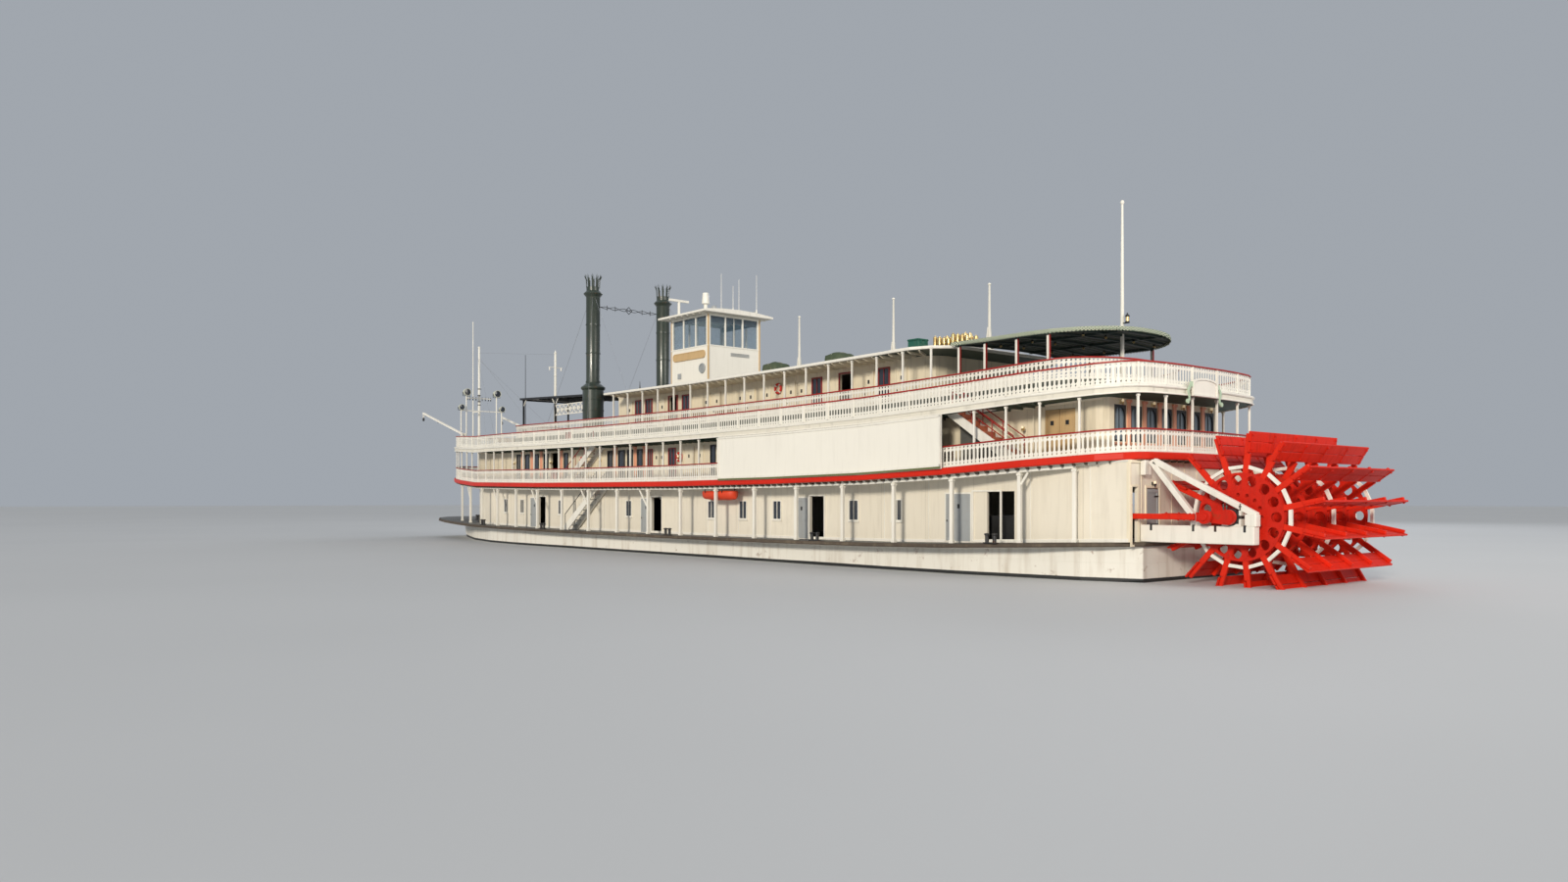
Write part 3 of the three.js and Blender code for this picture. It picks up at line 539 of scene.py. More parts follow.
def paint(name, colour, rough=0.45, fade=0.1, streaks=0.25, dirt=(0.23, 0.19, 0.13), boards=None,
          rust=0.0, coat=0.0, metal=0.0, mark=0.0004, gap=0.0, shine=0.5):
    f = Finish(name)
    broad = f.grain(2.3, 3.0)
    brush = f.grain(170.0, 3.0, roughness=0.6)
    rain = f.grain(1.0, 3.0, where=f.stretch(42, 42, 4.5))
    spots = f.grain(19.0, 5.0, roughness=0.65)
    faded = f.mix(broad * 2.2 - 0.6, darker(colour, 1 - fade), colour)
    level = abs(f.axis("Z", f.facing))
    wet = ((rain - 0.5) * 5.0).clamp() * (1.0 - level * 0.7) * streaks
    pooled = ((spots * broad - 0.3) * 6.0).clamp() * streaks * 0.8
    soiled = f.mix(wet, faded, dirt)
    soiled = f.mix(pooled.clamp(), soiled, darker(dirt, 1.3))
    height = brush * 0.6 + spots * 0.4
    gloss = rough + brush * 0.1 + wet * 0.35
    if boards:
        axis, pitch = boards
        run = f.axis("X") + f.axis("Y") if axis == "along" else f.axis(axis)
        groove = run.wrap(pitch) < (gap or pitch * 0.045)
        shade = f.node("ShaderNodeTexWhiteNoise", {"noise_dimensions": "1D"}, {"W": run.steps(pitch)})
        soiled = f.mix(shade * 0.16, soiled, darker(dirt, 1.8))
        soiled = f.mix(groove * 0.55, soiled, darker(dirt, 0.5))
        height = height - groove * 2.0
    if rust:
        flake = ((spots - 0.6) * 14.0).clamp() * rust
        soiled = f.mix(flake, soiled, (0.16, 0.055, 0.02))
        gloss = gloss + flake * 0.3
        height = height - flake * 0.8
    f.set(Base_Color=soiled, Roughness=gloss.clamp(), Metallic=metal, Coat_Weight=coat, Coat_Roughness=0.15,
          Specular_IOR_Level=shine)
    f.relief(height, mark)
    return f.material


WHITE = (0.86, 0.83, 0.75)
WALL = (0.84, 0.78, 0.66)
PAINT = {
    # name: (colour, settings)
    "white": (WHITE, dict(rough=0.4, streaks=0.13)),
    "wall_white": (WALL, dict(rough=0.42, fade=0.06, streaks=0.12, boards=("along", 0.29), gap=0.0006)),
    "white_boards": (WHITE, dict(rough=0.42, streaks=0.2, boards=("along", 0.014))),
    "board_white": (WHITE, dict(rough=0.36, fade=0.05, streaks=0.05)),
    "cream": ((0.86, 0.76, 0.57), dict(rough=0.45, streaks=0.14, boards=("along", 0.0975), gap=0.0006)),
    "cream_trim": ((0.87, 0.78, 0.6), dict(rough=0.4, streaks=0.1)),
    "tan": ((0.6, 0.41, 0.2), dict(rough=0.38, streaks=0.12, dirt=(0.16, 0.09, 0.04))),
    "guard_red": ((0.66, 0.021, 0.006), dict(rough=0.36, fade=0.14, streaks=0.12, dirt=(0.16, 0.02, 0.012),
                                             shine=0.25)),
    "wheel_red": ((0.74, 0.024, 0.006), dict(rough=0.4, fade=0.22, streaks=0.24, dirt=(0.22, 0.014, 0.008),
                                             mark=0.0009, shine=0.22)),
    "bucket_red": ((0.71, 0.02, 0.005), dict(rough=0.44, fade=0.3, streaks=0.3, dirt=(0.16, 0.014, 0.008),
                                              mark=0.0009, shine=0.2)),
    "iron_red": ((0.64, 0.018, 0.006), dict(rough=0.42, fade=0.26, streaks=0.26, dirt=(0.16, 0.014, 0.01),
                                            rust=0.4, shine=0.22)),
    "cap_red": ((0.34, 0.016, 0.012), dict(rough=0.38, fade=0.15, streaks=0.08, shine=0.3)),
    "bright_cap": ((0.4, 0.014, 0.01), dict(rough=0.38, fade=0.2, streaks=0.08, shine=0.3)),
    "fender": ((0.1, 0.075, 0.055), dict(rough=0.75, fade=0.4, streaks=0.4, mark=0.0012)),
    "frame_red": ((0.3, 0.03, 0.03), dict(rough=0.35, streaks=0.06)),
    "step_red": ((0.52, 0.12, 0.05), dict(rough=0.6, streaks=0.3, boards=("Y", 0.012))),
    "salmon": ((0.86, 0.38, 0.23), dict(rough=0.4, streaks=0.1)),
    "olive": ((0.13, 0.15, 0.05), dict(rough=0.45, streaks=0.12)),
    "grey": ((0.36, 0.38, 0.39), dict(rough=0.45, streaks=0.18)),
    "dark_grey": ((0.1, 0.105, 0.1), dict(rough=0.5, streaks=0.15, boards=("Z", 0.028), gap=0.0005)),
    "stack_green": ((0.032, 0.045, 0.034), dict(rough=0.28, streaks=0.22, dirt=(0.09, 0.085, 0.06), rust=0.25,
                                              coat=0.35)),
    "black": ((0.015, 0.016, 0.018), dict(rough=0.35, streaks=0.1, dirt=(0.08, 0.07, 0.06))),
    "under_green": ((0.04, 0.085, 0.062), dict(rough=0.55, streaks=0.18, boards=("X", 0.013))),
    "cover_green": ((0.06, 0.085, 0.045), dict(rough=0.7, streaks=0.35, dirt=(0.2, 0.19, 0.12))),
    "locker_green": ((0.012, 0.11, 0.075), dict(rough=0.4, streaks=0.15)),
    "iron": ((0.055, 0.055, 0.058), dict(rough=0.42, metal=0.6, rust=0.5, streaks=0.15)),
    "ring_red": ((0.62, 0.03, 0.018), dict(rough=0.55, streaks=0.1)),
    "canvas_red": ((0.6, 0.016, 0.01), dict(rough=0.75, streaks=0.15, mark=0.0012)),
    "boat_orange": ((0.74, 0.055, 0.012), dict(rough=0.5, streaks=0.15, mark=0.0008)),
    "pale_green": ((0.46, 0.6, 0.44), dict(rough=0.45, streaks=0.1)),
    "lamp_case": ((0.62, 0.64, 0.54), dict(rough=0.4, streaks=0.12)),
    "dark_brown": ((0.055, 0.028, 0.018), dict(rough=0.4, streaks=0.1, dirt=(0.03, 0.02, 0.015))),
    "bench_wood": ((0.3, 0.16, 0.07), dict(rough=0.55, streaks=0.2, boards=("Z", 0.011), gap=0.0003)),
}
paints = {name: paint(name, colour, **settings) for name, (colour, settings) in PAINT.items()}
print(len(paints), "paints")

# %% [markdown]
# ## Decks, hull, glass, brass and cloth
#
# Some surfaces need a formula of their own. A deck is walked on above, painted on its edge and dark
# below, so its paint asks which way the face looks. The hull changes colour at the waterline. Window
# glass on a closed cabin is a dark mirror with a faint blind behind it. Brass tarnishes where nobody
# rubs it, and the awning is a coarse green weave.


# %% Deck paint: top, edge and underside
def deck_paint(name, top, edge, under, pitch=0.0125, aft_under=None):
    f = Finish(name)
    up = f.axis("Z", f.facing)
    broad = f.grain(2.0, 3.0)
    scuff = f.grain(34.0, 6.0, roughness=0.7)
    rain = f.grain(1.0, 3.0, where=f.stretch(30, 30, 4))
    across = f.axis("Y")
    seam = across.wrap(pitch) < pitch * 0.05
    plank = f.node("ShaderNodeTexWhiteNoise", {"noise_dimensions": "2D"},
                   {"Vector": f.node("ShaderNodeCombineXYZ", {},
                                     [across.steps(pitch), f.axis("X").steps(0.45), 0.0])})
    walked = f.mix(scuff * 0.8 - 0.15, darker(top, 0.82), top)
    walked = f.mix(plank * 0.25, walked, darker(top, 0.6))
    walked = f.mix(seam * 0.7, walked, darker(top, 0.25))
    edged = f.mix(broad * 0.9 - 0.2, darker(edge, 0.85), edge)
    edged = f.mix(((rain - 0.52) * 5.0).clamp() * 0.28, edged, darker(edge, 0.35))
    lower = f.mix(broad, darker(under, 0.75), under)
    lower = f.mix((f.axis("X").wrap(0.0145) < 0.0008) * 0.6, lower, darker(under, 0.3))
    if aft_under:
        lower = f.mix(f.axis("X") < at(1.8), lower, aft_under)
    colour = f.mix(up > 0.6, edged, walked)
    colour = f.mix(up < -0.6, colour, lower)
    f.set(Base_Color=colour, Roughness=0.5 + scuff * 0.2)
    return f.relief(scuff * 0.5 - seam * (up > 0.6), 0.0006).material


def hull_paint():
    f = Finish("hull_plates")
    height = f.axis("Z")
    broad = f.grain(1.6, 3.0)
    spots = f.grain(16.0, 6.0, roughness=0.7)
    rain = f.grain(1.0, 4.0, where=f.stretch(26, 26, 3))
    plates = f.node("ShaderNodeTexBrick", {"offset": 0.5},
                    {"Vector": f.node("ShaderNodeCombineXYZ", {}, [f.axis("X"), height, 0.0]), "Scale": 1.0,
                     "Mortar Size": 0.0016, "Brick Width": 0.6, "Row Height": 0.085, "Bias": 0.0}, out="Fac")
    topside = f.mix(broad, darker(WHITE, 0.86), WHITE)
    topside = f.mix(((rain - 0.5) * 4.0).clamp() * 0.34, topside, (0.3, 0.2, 0.1))
    topside = f.mix(((spots - 0.62) * 12.0).clamp() * 0.6, topside, (0.2, 0.07, 0.025))
    bottom = f.mix(spots, (0.16, 0.035, 0.022), (0.24, 0.055, 0.035))
    boot = (0.018, 0.019, 0.02)
    edge = height + broad * 0.004
    colour = f.mix(edge > WATERLINE + 0.017, boot, topside)
    colour = f.mix(edge < WATERLINE - 0.004, colour, bottom)
    weed = (((WATERLINE + 0.012) - edge) * 60.0).clamp() * ((spots - 0.35) * 2.0).clamp()
    colour = f.mix(weed * 0.5, colour, (0.05, 0.06, 0.02))
    f.set(Base_Color=colour, Roughness=0.42 + spots * 0.25)
    return f.relief(spots * 0.4 - plates * 1.2, 0.0008).material


# Each deck's paint: (top, edge, underside)
DECK_PAINT = {
    "main_deck": ((0.2, 0.2, 0.2), (0.7, 0.67, 0.6), (0.1, 0.1, 0.1)),
    "boiler_deck": ((0.24, 0.075, 0.05), (0.78, 0.016, 0.004), (0.62, 0.6, 0.53)),
    "texas_deck": ((0.3, 0.3, 0.28), (0.8, 0.76, 0.66), (0.035, 0.085, 0.06)),
    # The inner deck's edge is painted dark olive as painted shade, so the slots of the Texas rail in front of
    # it read dark.
    "inner_deck": ((0.22, 0.22, 0.2), (0.09, 0.1, 0.08), (0.035, 0.085, 0.06)),
}
for deck, (top, edge, under) in DECK_PAINT.items():
    paints[deck] = deck_paint(f"{deck}_paint", top, edge, under)
paints["roof"] = deck_paint("roof_canvas", (0.5, 0.49, 0.44), (0.82, 0.79, 0.71), (0.7, 0.66, 0.54),
                            pitch=0.09, aft_under=(0.03, 0.065, 0.05))
paints["hull"] = hull_paint()
print(len(paints), "paints with decks and hull")


# %% Glass, brass, wood and cloth
def pane(name="cabin_glass", colour=(0.016, 0.022, 0.034)):
    f = Finish(name)
    # The sheen is painted into the glass's colour: broad lighter and darker patches that stand for
    # reflections on the panes.
    sheen = f.grain(3.0, 1.0)
    blind = f.grain(1.0, 1.0, where=f.stretch(16, 16, 2))
    dust = f.grain(60.0, 4.0)
    tone = f.mix(sheen, darker(colour, 0.6), darker(colour, 1.9))
    tone = f.mix(((blind - 0.56) * 6.0).clamp() * 0.35, tone, (0.3, 0.27, 0.22))
    f.set(Base_Color=tone, Roughness=0.05 + dust * 0.12, Coat_Weight=0.6, Coat_Roughness=0.04)
    return f.relief(sheen, 0.0012, 0.25).material


def clear_glass():
    f = Finish("pilothouse_glass")
    dust = f.grain(24.0, 4.0)
    f.set(Base_Color=f.mix(dust, (0.1, 0.2, 0.28), (0.2, 0.32, 0.42)), Roughness=0.03 + dust * 0.08,
          Alpha=0.16 + dust * 0.1, Coat_Weight=0.8, Coat_Roughness=0.03)
    return f.relief(f.grain(5.0, 1.0), 0.001, 0.2).material


def brass():
    f = Finish("whistle_brass")
    tarnish = ((f.grain(22.0, 5.0) - 0.42) * 4.0).clamp()
    fine = f.grain(260.0, 2.0, where=f.stretch(1, 1, 0.2))
    colour = f.mix(tarnish, (0.84, 0.66, 0.34), (0.46, 0.33, 0.14))
    f.set(Base_Color=colour, Metallic=1.0 - tarnish * 0.25, Roughness=0.2 + tarnish * 0.25 + fine * 0.1)
    return f.relief(fine, 0.0003).material


def awning_cloth():
    f = Finish("awning_cloth")
    x, y = f.axis("X"), f.axis("Y")
    weave = x.wrap(0.0024) * y.wrap(0.0024) * 700000.0
    lap = y.wrap(0.086) < 0.0016
    patch = f.grain(3.5, 4.0)
    bleach = ((f.grain(11.0, 4.0) - 0.45) * 3.0).clamp()
    under = f.axis("Z", f.facing) < 0.0
    top = f.mix(patch, (0.045, 0.115, 0.08), (0.085, 0.17, 0.12))
    top = f.mix(bleach * 0.35, top, (0.2, 0.27, 0.19))
    # The underside of the sheet is painted far darker than its top: painted shade under the awning.
    shaded = f.mix(patch, (0.006, 0.017, 0.016), (0.012, 0.03, 0.026))
    colour = f.mix(under, top, shaded)
    colour = f.mix(lap * 0.5, colour, (0.012, 0.028, 0.022))
    f.set(Base_Color=colour, Roughness=0.78 + patch * 0.12, Sheen_Weight=0.25, Sheen_Roughness=0.5)
    return f.relief(weave * 0.4 + lap * 1.0, 0.0006).material


def two_tone(name, low, high, height):
    """One paint below a height and another above it."""
    f = Finish(name)
    brush = f.grain(150.0, 3.0)
    patch = f.grain(6.0, 3.0)
    colour = f.mix(f.axis("Z") > height, f.mix(patch, darker(low, 0.88), low),
                   f.mix(patch, darker(high, 0.7), high))
    f.set(Base_Color=colour, Roughness=0.45 + brush * 0.15)
    return f.relief(brush, 0.0004).material


def lattice_cloth():
    """The awning's side band: a pale trellis on green."""
    f = Finish("awning_trellis")
    a = (f.axis("X") + f.axis("Y") * 0.6 + f.axis("Z") * 1.6).wrap(0.017)
    b = (f.axis("X") + f.axis("Y") * 0.6 - f.axis("Z") * 1.6).wrap(0.017)
    slat = ((a < 0.0022) + (b < 0.0022)).clamp()
    patch = f.grain(9.0, 3.0)
    colour = f.mix(slat, f.mix(patch, (0.05, 0.11, 0.07), (0.09, 0.16, 0.1)), (0.66, 0.66, 0.52))
    f.set(Base_Color=colour, Roughness=0.7 + patch * 0.1)
    return f.relief(slat, 0.0008).material


def lamp_glass():
    f = Finish("lamp_glass")
    frost = f.grain(90.0, 2.0)
    f.set(Base_Color=f.mix(frost, (0.8, 0.72, 0.52), (0.9, 0.84, 0.66)), Roughness=0.18 + frost * 0.15,
          Emission_Color=f.mix(frost, (1.0, 0.7, 0.34), (1.0, 0.8, 0.5)), Emission_Strength=0.35)
    return f.material


def rope():
    f = Finish("rope")
    twist = (f.axis("X") + f.axis("Y") + f.axis("Z") * 2.0).wrap(0.01) * 200.0
    fibre = f.grain(300.0, 3.0)
    f.set(Base_Color=f.mix(twist * 0.6 + fibre * 0.3, (0.2, 0.15, 0.09), (0.48, 0.4, 0.27)), Roughness=0.85)
    return f.relief(twist + fibre * 0.3, 0.0015).material


def galvanised():
    f = Finish("galvanised_wire")
    fleck = f.cells(120.0)
    f.set(Base_Color=f.mix(fleck, (0.3, 0.31, 0.32), (0.55, 0.56, 0.57)), Metallic=0.9,
          Roughness=0.35 + fleck * 0.25)
    return f.relief(fleck, 0.0003).material


def cast_block():
    f = Finish("cast_iron_block")
    sand = f.grain(120.0, 5.0)
    oil = ((f.grain(5.0, 3.0) - 0.45) * 3.0).clamp()
    f.set(Base_Color=f.mix(oil, (0.06, 0.062, 0.065), (0.022, 0.02, 0.018)), Metallic=0.7,
          Roughness=0.62 - oil * 0.35)
    return f.relief(sand, 0.0008).material


# The stern glass is painted paler than the cabin glass: a painted pale reflection on the stern windows.
paints.update(
    glass=pane(), stern_glass=pane("stern_glass", (0.12, 0.155, 0.185)), clear=clear_glass(), brass=brass(),
    awning=awning_cloth(), trellis=lattice_cloth(),
    awning_frame=two_tone("awning_frame_paint", WHITE, (0.02, 0.042, 0.036), 1.222), lamp=lamp_glass(),
    rope=rope(), wire=galvanised(), engine=cast_block(),
)
print(len(paints), "finishes")


# %% The frame's own solids get their paint
def dress(finish, *nodes):
    for node in nodes:
        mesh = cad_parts[node].data
        mesh.materials.clear()
        mesh.materials.append(paints[finish])


def sides(name):
    return name + "_port", name + "_starboard"


dress("hull", "hull")
for deck in DECK_PAINT:
    dress(deck, deck)
dress("roof", "texas_roof")
dress("wall_white", "main_house_aft", "main_house_fore")
dress("board_white", "pilothouse")
dress("cream", "boiler_cabin", "texas_cabin")
dress("engine", *sides("engine_block"), "boiler_block")
dress("board_white", *sides("sign_board"))
dress("awning_frame", "awning_frame")
dress("white", "aft_staff", "fore_mast", "bow_mast")
dress("white", *sides("boom_post"), *sides("boom"), "pilothouse_roof")
dress("wheel_red", "rudder_port", "rudder_middle", "rudder_starboard", "paddle_wheel", *sides("pitman"))
dress("white", *sides("wheel_timbers"), *sides("main_posts"), *sides("stair_fore"), *sides("stair_main"))
dress("step_red", *sides("stair_aft"))
dress("white", *sides("boiler_rail"), *sides("texas_rail"), *sides("inner_rail"))
dress("tan", *sides("cabin_door_aft"), *sides("cabin_door_fore"), "pilothouse_door")
dress("grey", "aft_door")
dress("stack_green", *sides("stack"), "stack_spreader")
dress("black", "fore_canopy")
dress("awning", "aft_awning")
dress("brass", "calliope")
print("frame dressed")

# %% [markdown]
# ## Balustrades
#
# Each deck is fenced with flat sawn boards that nearly touch. The sawyer nicks their edges, so that two
# neighbours leave a small diamond under the cap, a long slot in the middle and a small notch near the
# foot. One board is extruded from its outline and stamped along the rail; its thickness is real, since
# the low sun shines through the slots.


# %% One baluster
PITCH = 0.02
RAIL_TALL = 0.098
CAP_THICK = 0.007
BOARD_HALF = 0.0096
BOARD_THICK = 0.0014
POST_HALF = 0.0045
# One edge of the board, from its foot up: [height, share of the half width]
SAWN_EDGE = [
    (0.006, 1.0), (0.011, 1.0), (0.015, 0.66), (0.019, 1.0), (0.023, 1.0), (0.029, 0.46), (0.068, 0.46),
    (0.074, 1.0), (0.079, 1.0), (0.084, 0.5), (0.089, 1.0), (0.092, 1.0),
]


def baluster():
    right = [(BOARD_HALF * share, z) for z, share in SAWN_EDGE]
    left = [(-x, z) for x, z in reversed(right)]
    return plate(new_shape(), right + left, BOARD_THICK)


board = baluster()
print("a baluster has", sum(len(f.verts) - 2 for f in board.faces), "triangles")


# %% Foot rail, boards and cap
def rail_section(half, low, high, take=0.0015):
    return [(-half, low), (half, low), (half, high - take), (half - take, high), (take - half, high),
            (-half, high - take)]


def fence(boards, caps, path):
    stamp(boards, board, [frame_at(*path.place(d)) for d in path.steps(PITCH)])
    sweep(boards, path, rail_section(0.0045, 0.001, 0.008))
    sweep(caps, path, rail_section(0.006, RAIL_TALL - CAP_THICK, RAIL_TALL - 0.001, 0.002))


# %% Square posts with a plinth and a capital
def square_post(bm, place, foot, head):
    parts = new_shape()
    block(parts, (-POST_HALF, -POST_HALF, foot), (POST_HALF, POST_HALF, head), 0.001)
    if head - foot > 0.15:
        block(parts, (-0.0065, -0.0065, foot), (0.0065, 0.0065, foot + 0.012), 0.001)
        block(parts, (-0.0065, -0.0065, head - 0.01), (0.0065, 0.0065, head), 0.001)
    set_down(bm, parts, place)


# Where the posts stand: stations along the side, and distances from the centre line across the stern
SIDE_POSTS = [0.568, 0.731, 0.883, *(1.041 + 0.1816 * k for k in range(34))]
STERN_POSTS = [0.095, 0.285, 0.445]
INNER_POSTS = [1.41 + 0.175 * k for k in range(17)]


def post_places(path, stations, stern=()):
    sides = [path.reach(at(s)) for s in stations]
    walk = [path.length * k / 2000 for k in range(400)]
    return [next(d for d in walk if path.place(d)[0].y >= y) for y in stern] + sides


# %% The rails of the three decks
for name, deck, stations, stern, ceiling in (
        ("boiler", "boiler_deck", SIDE_POSTS, STERN_POSTS, lambda x: deck_top("texas_deck", x) - 0.0355),
        ("texas", "texas_deck", SIDE_POSTS, STERN_POSTS, None),
        ("inner", "inner_deck", INNER_POSTS, (), lambda x: deck_top("texas_roof", x) - 0.0145)):
    path = Path(RIM[deck]).inset(0.0135)
    boards, caps = shapes(2)
    fence(boards, caps, path)
    for distance in post_places(path, stations, stern):
        point, along = path.place(distance)
        place = frame_at(Vector((point.x, point.y, 0)), along)
        head = ceiling(point.x) if ceiling else point.z + RAIL_TALL - CAP_THICK + 0.001
        if name != "inner" or 1.35 < point.x - SHAFT.x < 4.3:
            square_post(boards, place, point.z + 0.001, head)
    pair(f"{name}_balusters", boards, "white", replaces=[f"{name}_rail"], slot="white_wood")
    pair(f"{name}_rail_cap", caps, "cap_red" if name == "boiler" else "bright_cap")
print(COUNT)

# %% [markdown]
# ## Guards and fascias
#
# The edge of a river boat's deck is the part that rubs along a quay, so it carries strakes. The boiler
# deck has a bright red guard, the Texas deck a white cornice, and the main deck a worn timber fender.
# Each is one section drawn round the deck. A long blank board stands on the guard amidships, in a frame
# of mouldings, with an olive line at its foot.

# %% Strakes round the decks
for name, deck, section, finish in (
        ("boiler_guard", "boiler_deck",
         [(-0.002, -0.029), (0.003, -0.029), (0.0055, -0.025), (0.0055, -0.004), (0.003, -0.001),
          (-0.004, 0.0012)],
         "guard_red"),
        ("texas_cornice", "texas_deck",
         [(-0.002, -0.01), (0.004, -0.01), (0.007, -0.006), (0.007, -0.001), (0.004, 0.0012),
          (-0.004, 0.0012)],
         "white"),
        ("texas_bead", "texas_deck", [(-0.002, -0.034), (0.004, -0.034), (0.005, -0.031), (0.004, -0.028),
                                      (-0.002, -0.028)],
         "white"),
        ("main_fender", "main_deck",
         [(-0.002, -0.018), (0.007, -0.017), (0.01, -0.012), (0.01, -0.006), (0.007, -0.001),
          (-0.004, 0.001)],
         "fender"),
        ("roof_cornice", "texas_roof",
         [(-0.002, -0.013), (0.004, -0.013), (0.006, -0.01), (0.006, -0.001), (0.003, 0.0015),
          (-0.004, 0.0015)],
         "white")):
    bm = sweep(new_shape(), Path(RIM[deck]), section)
    pair(name, bm, finish)
print(COUNT)


# %% The blank board on the guard
def rising_board(bm, x0, x1, y0, y1, deck, low, high):
    """A board that follows a deck's rise between two stations."""
    line = Path([Vector((x, y0, deck_top(deck, x)))
                 for x in (x0, *(x0 + (x1 - x0) * k / 12 for k in range(1, 12)), x1)])
    return sweep(bm, line, [(0, low), (y1 - y0, low), (y1 - y0, high), (0, high)])


x0, x1 = (corner[0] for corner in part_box("sign_board_port"))
frame_of_sign, olive_line = shapes(2)
rising_board(frame_of_sign, x0, x1, 0.7118, 0.7165, "boiler_deck", 0.006, 0.016)
rising_board(frame_of_sign, x0, x1, 0.7118, 0.7165, "texas_deck", -0.046, -0.037)
for x in (x0 + 0.004, x1 - 0.004):
    block(frame_of_sign, (x - 0.004, 0.7118, deck_top("boiler_deck", x) + 0.006),
          (x + 0.004, 0.7165, deck_top("texas_deck", x) - 0.038), 0.0008)
rising_board(olive_line, x0, x1, 0.71, 0.717, "boiler_deck", -0.003, 0.0058)
pair("sign_frame", frame_of_sign, "white")
pair("sign_line", olive_line, "olive")
print("blank board", round(x1 - x0, 3), "long", COUNT)

# %% [markdown]
# ## The paddle wheel
#
# Five spiders of oak arms sit on one iron shaft. Each spider has a pair of iron hub plates with a round
# hole between every two arms, a white ring of straight segments, and fifteen arms that are notched for
# the buckets. A bucket is two planks, held at every arm by a strap with two nuts. One arm, one bucket
# and one plate are modelled and then turned round the shaft, as a wheelwright would set them out.


# %% Set out one spider
ARMS = 15
FRAMES = (-0.35, -0.175, 0.0, 0.175, 0.35)
RINGED = (-0.35, 0.0, 0.35)
WHEEL_RADIUS = 0.325
BUCKET = 0.08


def on_shaft(y):
    return shift(SHAFT.x, y, SHAFT.z)


def spoke(k, y=0.0):
    """Local X points out along arm k, local Y along the shaft."""
    return on_shaft(y) @ Matrix.Rotation(-k * math.tau / ARMS, 4, "Y")


def wheel_arm():
    bm = new_shape()
    notch = WHEEL_RADIUS - BUCKET - 0.004
    block(bm, (0.06, -0.007, -0.011), (notch, 0.007, 0.011), 0.0016)
    block(bm, (notch - 0.004, -0.007, -0.011), (WHEEL_RADIUS - 0.009, 0.007, 0.003), 0.0016)
    return bm


arm = wheel_arm()
arms = stamp(new_shape(), arm, [spoke(k, y) for y in FRAMES for k in range(ARMS)])
print("arms", len(arms.faces))


# %% Buckets and their irons
def wheel_bucket():
    bm = new_shape()
    middle = WHEEL_RADIUS - BUCKET / 2
    for x0, x1 in ((WHEEL_RADIUS - BUCKET, middle - 0.0012), (middle + 0.0012, WHEEL_RADIUS)):
        block(bm, (x0, -0.365, 0.003), (x1, 0.365, 0.0105), 0.0014)
    return bm


def bucket_irons():
    bm = new_shape()
    for y in FRAMES:
        block(bm, (WHEEL_RADIUS - BUCKET + 0.006, y - 0.0045, 0.0105),
              (WHEEL_RADIUS - 0.006, y + 0.0045, 0.0122), 0.0004)
        for x in (WHEEL_RADIUS - BUCKET + 0.013, WHEEL_RADIUS - 0.013):
            rod(bm, (x, y, 0.012), (x, y, 0.0158), 0.0036, sides=6)
    return bm


buckets = stamp(new_shape(), wheel_bucket(), [spoke(k) for k in range(ARMS)])
irons = stamp(new_shape(), bucket_irons(), [spoke(k) for k in range(ARMS)])
print("buckets", len(buckets.faces), "irons", len(irons.faces))


# %% Hub plates with a hole in every bay
HUB_PLATE = 0.168
PLATE_SIDES = 60


def ring_of(bm, radius, sides, x=0.0, y=0.0):
    made = bmesh.ops.create_circle(bm, cap_ends=False, segments=sides, radius=radius, matrix=shift(x, y, 0))
    return list({e for v in made["verts"] for e in v.link_edges})


def pierced_plate(radius, holes, thick):
    """A round plate in local X and Y, with round holes: [x, y, radius, sides]."""
    bm = new_shape()
    edges = ring_of(bm, radius, PLATE_SIDES)
    for x, y, r, n in holes:
        edges += ring_of(bm, r, n, x, y)
    bmesh.ops.triangle_fill(bm, use_beauty=True, use_dissolve=False, edges=edges)
    thicken(bm, list(bm.faces), (0, 0, thick))
    face_out(bm, bm.verts)
    return bm


def bay(k, radius):
    angle = (k + 0.5) * math.tau / ARMS
    return math.cos(angle) * radius, math.sin(angle) * radius


plate_holes = [(*bay(k, 0.139), 0.0205, 14) for k in range(ARMS)] + [(*bay(k, 0.084), 0.0075, 8)
                                                                     for k in range(ARMS)]
hub_plate = pierced_plate(HUB_PLATE, plate_holes, 0.0022)
lay_flat = Matrix.Rotation(math.pi / 2, 4, "X")
plates = new_shape()
for y in FRAMES:
    for face in (y - 0.007, y + 0.0092):
        stamp(plates, hub_plate, [on_shaft(face) @ lay_flat])
bolts = new_shape()
for k in range(ARMS):
    for y in (FRAMES[0], FRAMES[-1]):
        for radius in (0.066, 0.104, 0.158):
            for z in (-0.0055, 0.0055) if radius < 0.15 else (0.0,):
                out = math.copysign(1, y)
                bmesh.ops.create_cone(bolts, cap_ends=True, segments=6, radius1=0.0026, radius2=0.0022,
                                      depth=0.0024,
                                      matrix=spoke(k, y + out * 0.0102) @ shift(radius, 0, z) @ lay_flat)
print("plates", len(plates.faces), "bolts", len(bolts.faces))

# %% Shaft, collars, cranks and rings
shaft = new_shape()
along_shaft = on_shaft(0) @ Matrix.Rotation(-math.pi / 2, 4, "X")
steps_of_shaft = [(0.0, -0.452), (0.0235, -0.452), (0.0247, -0.449)]
for y in FRAMES:
    steps_of_shaft += [(0.0247, y - 0.028), (0.04, y - 0.027), (0.046, y - 0.014), (0.046, y + 0.014),
                       (0.04, y + 0.027), (0.0247, y + 0.028)]
steps_of_shaft += [(0.0247, 0.449), (0.0235, 0.452), (0.0, 0.452)]
lathe(shaft, steps_of_shaft, along_shaft, 24)


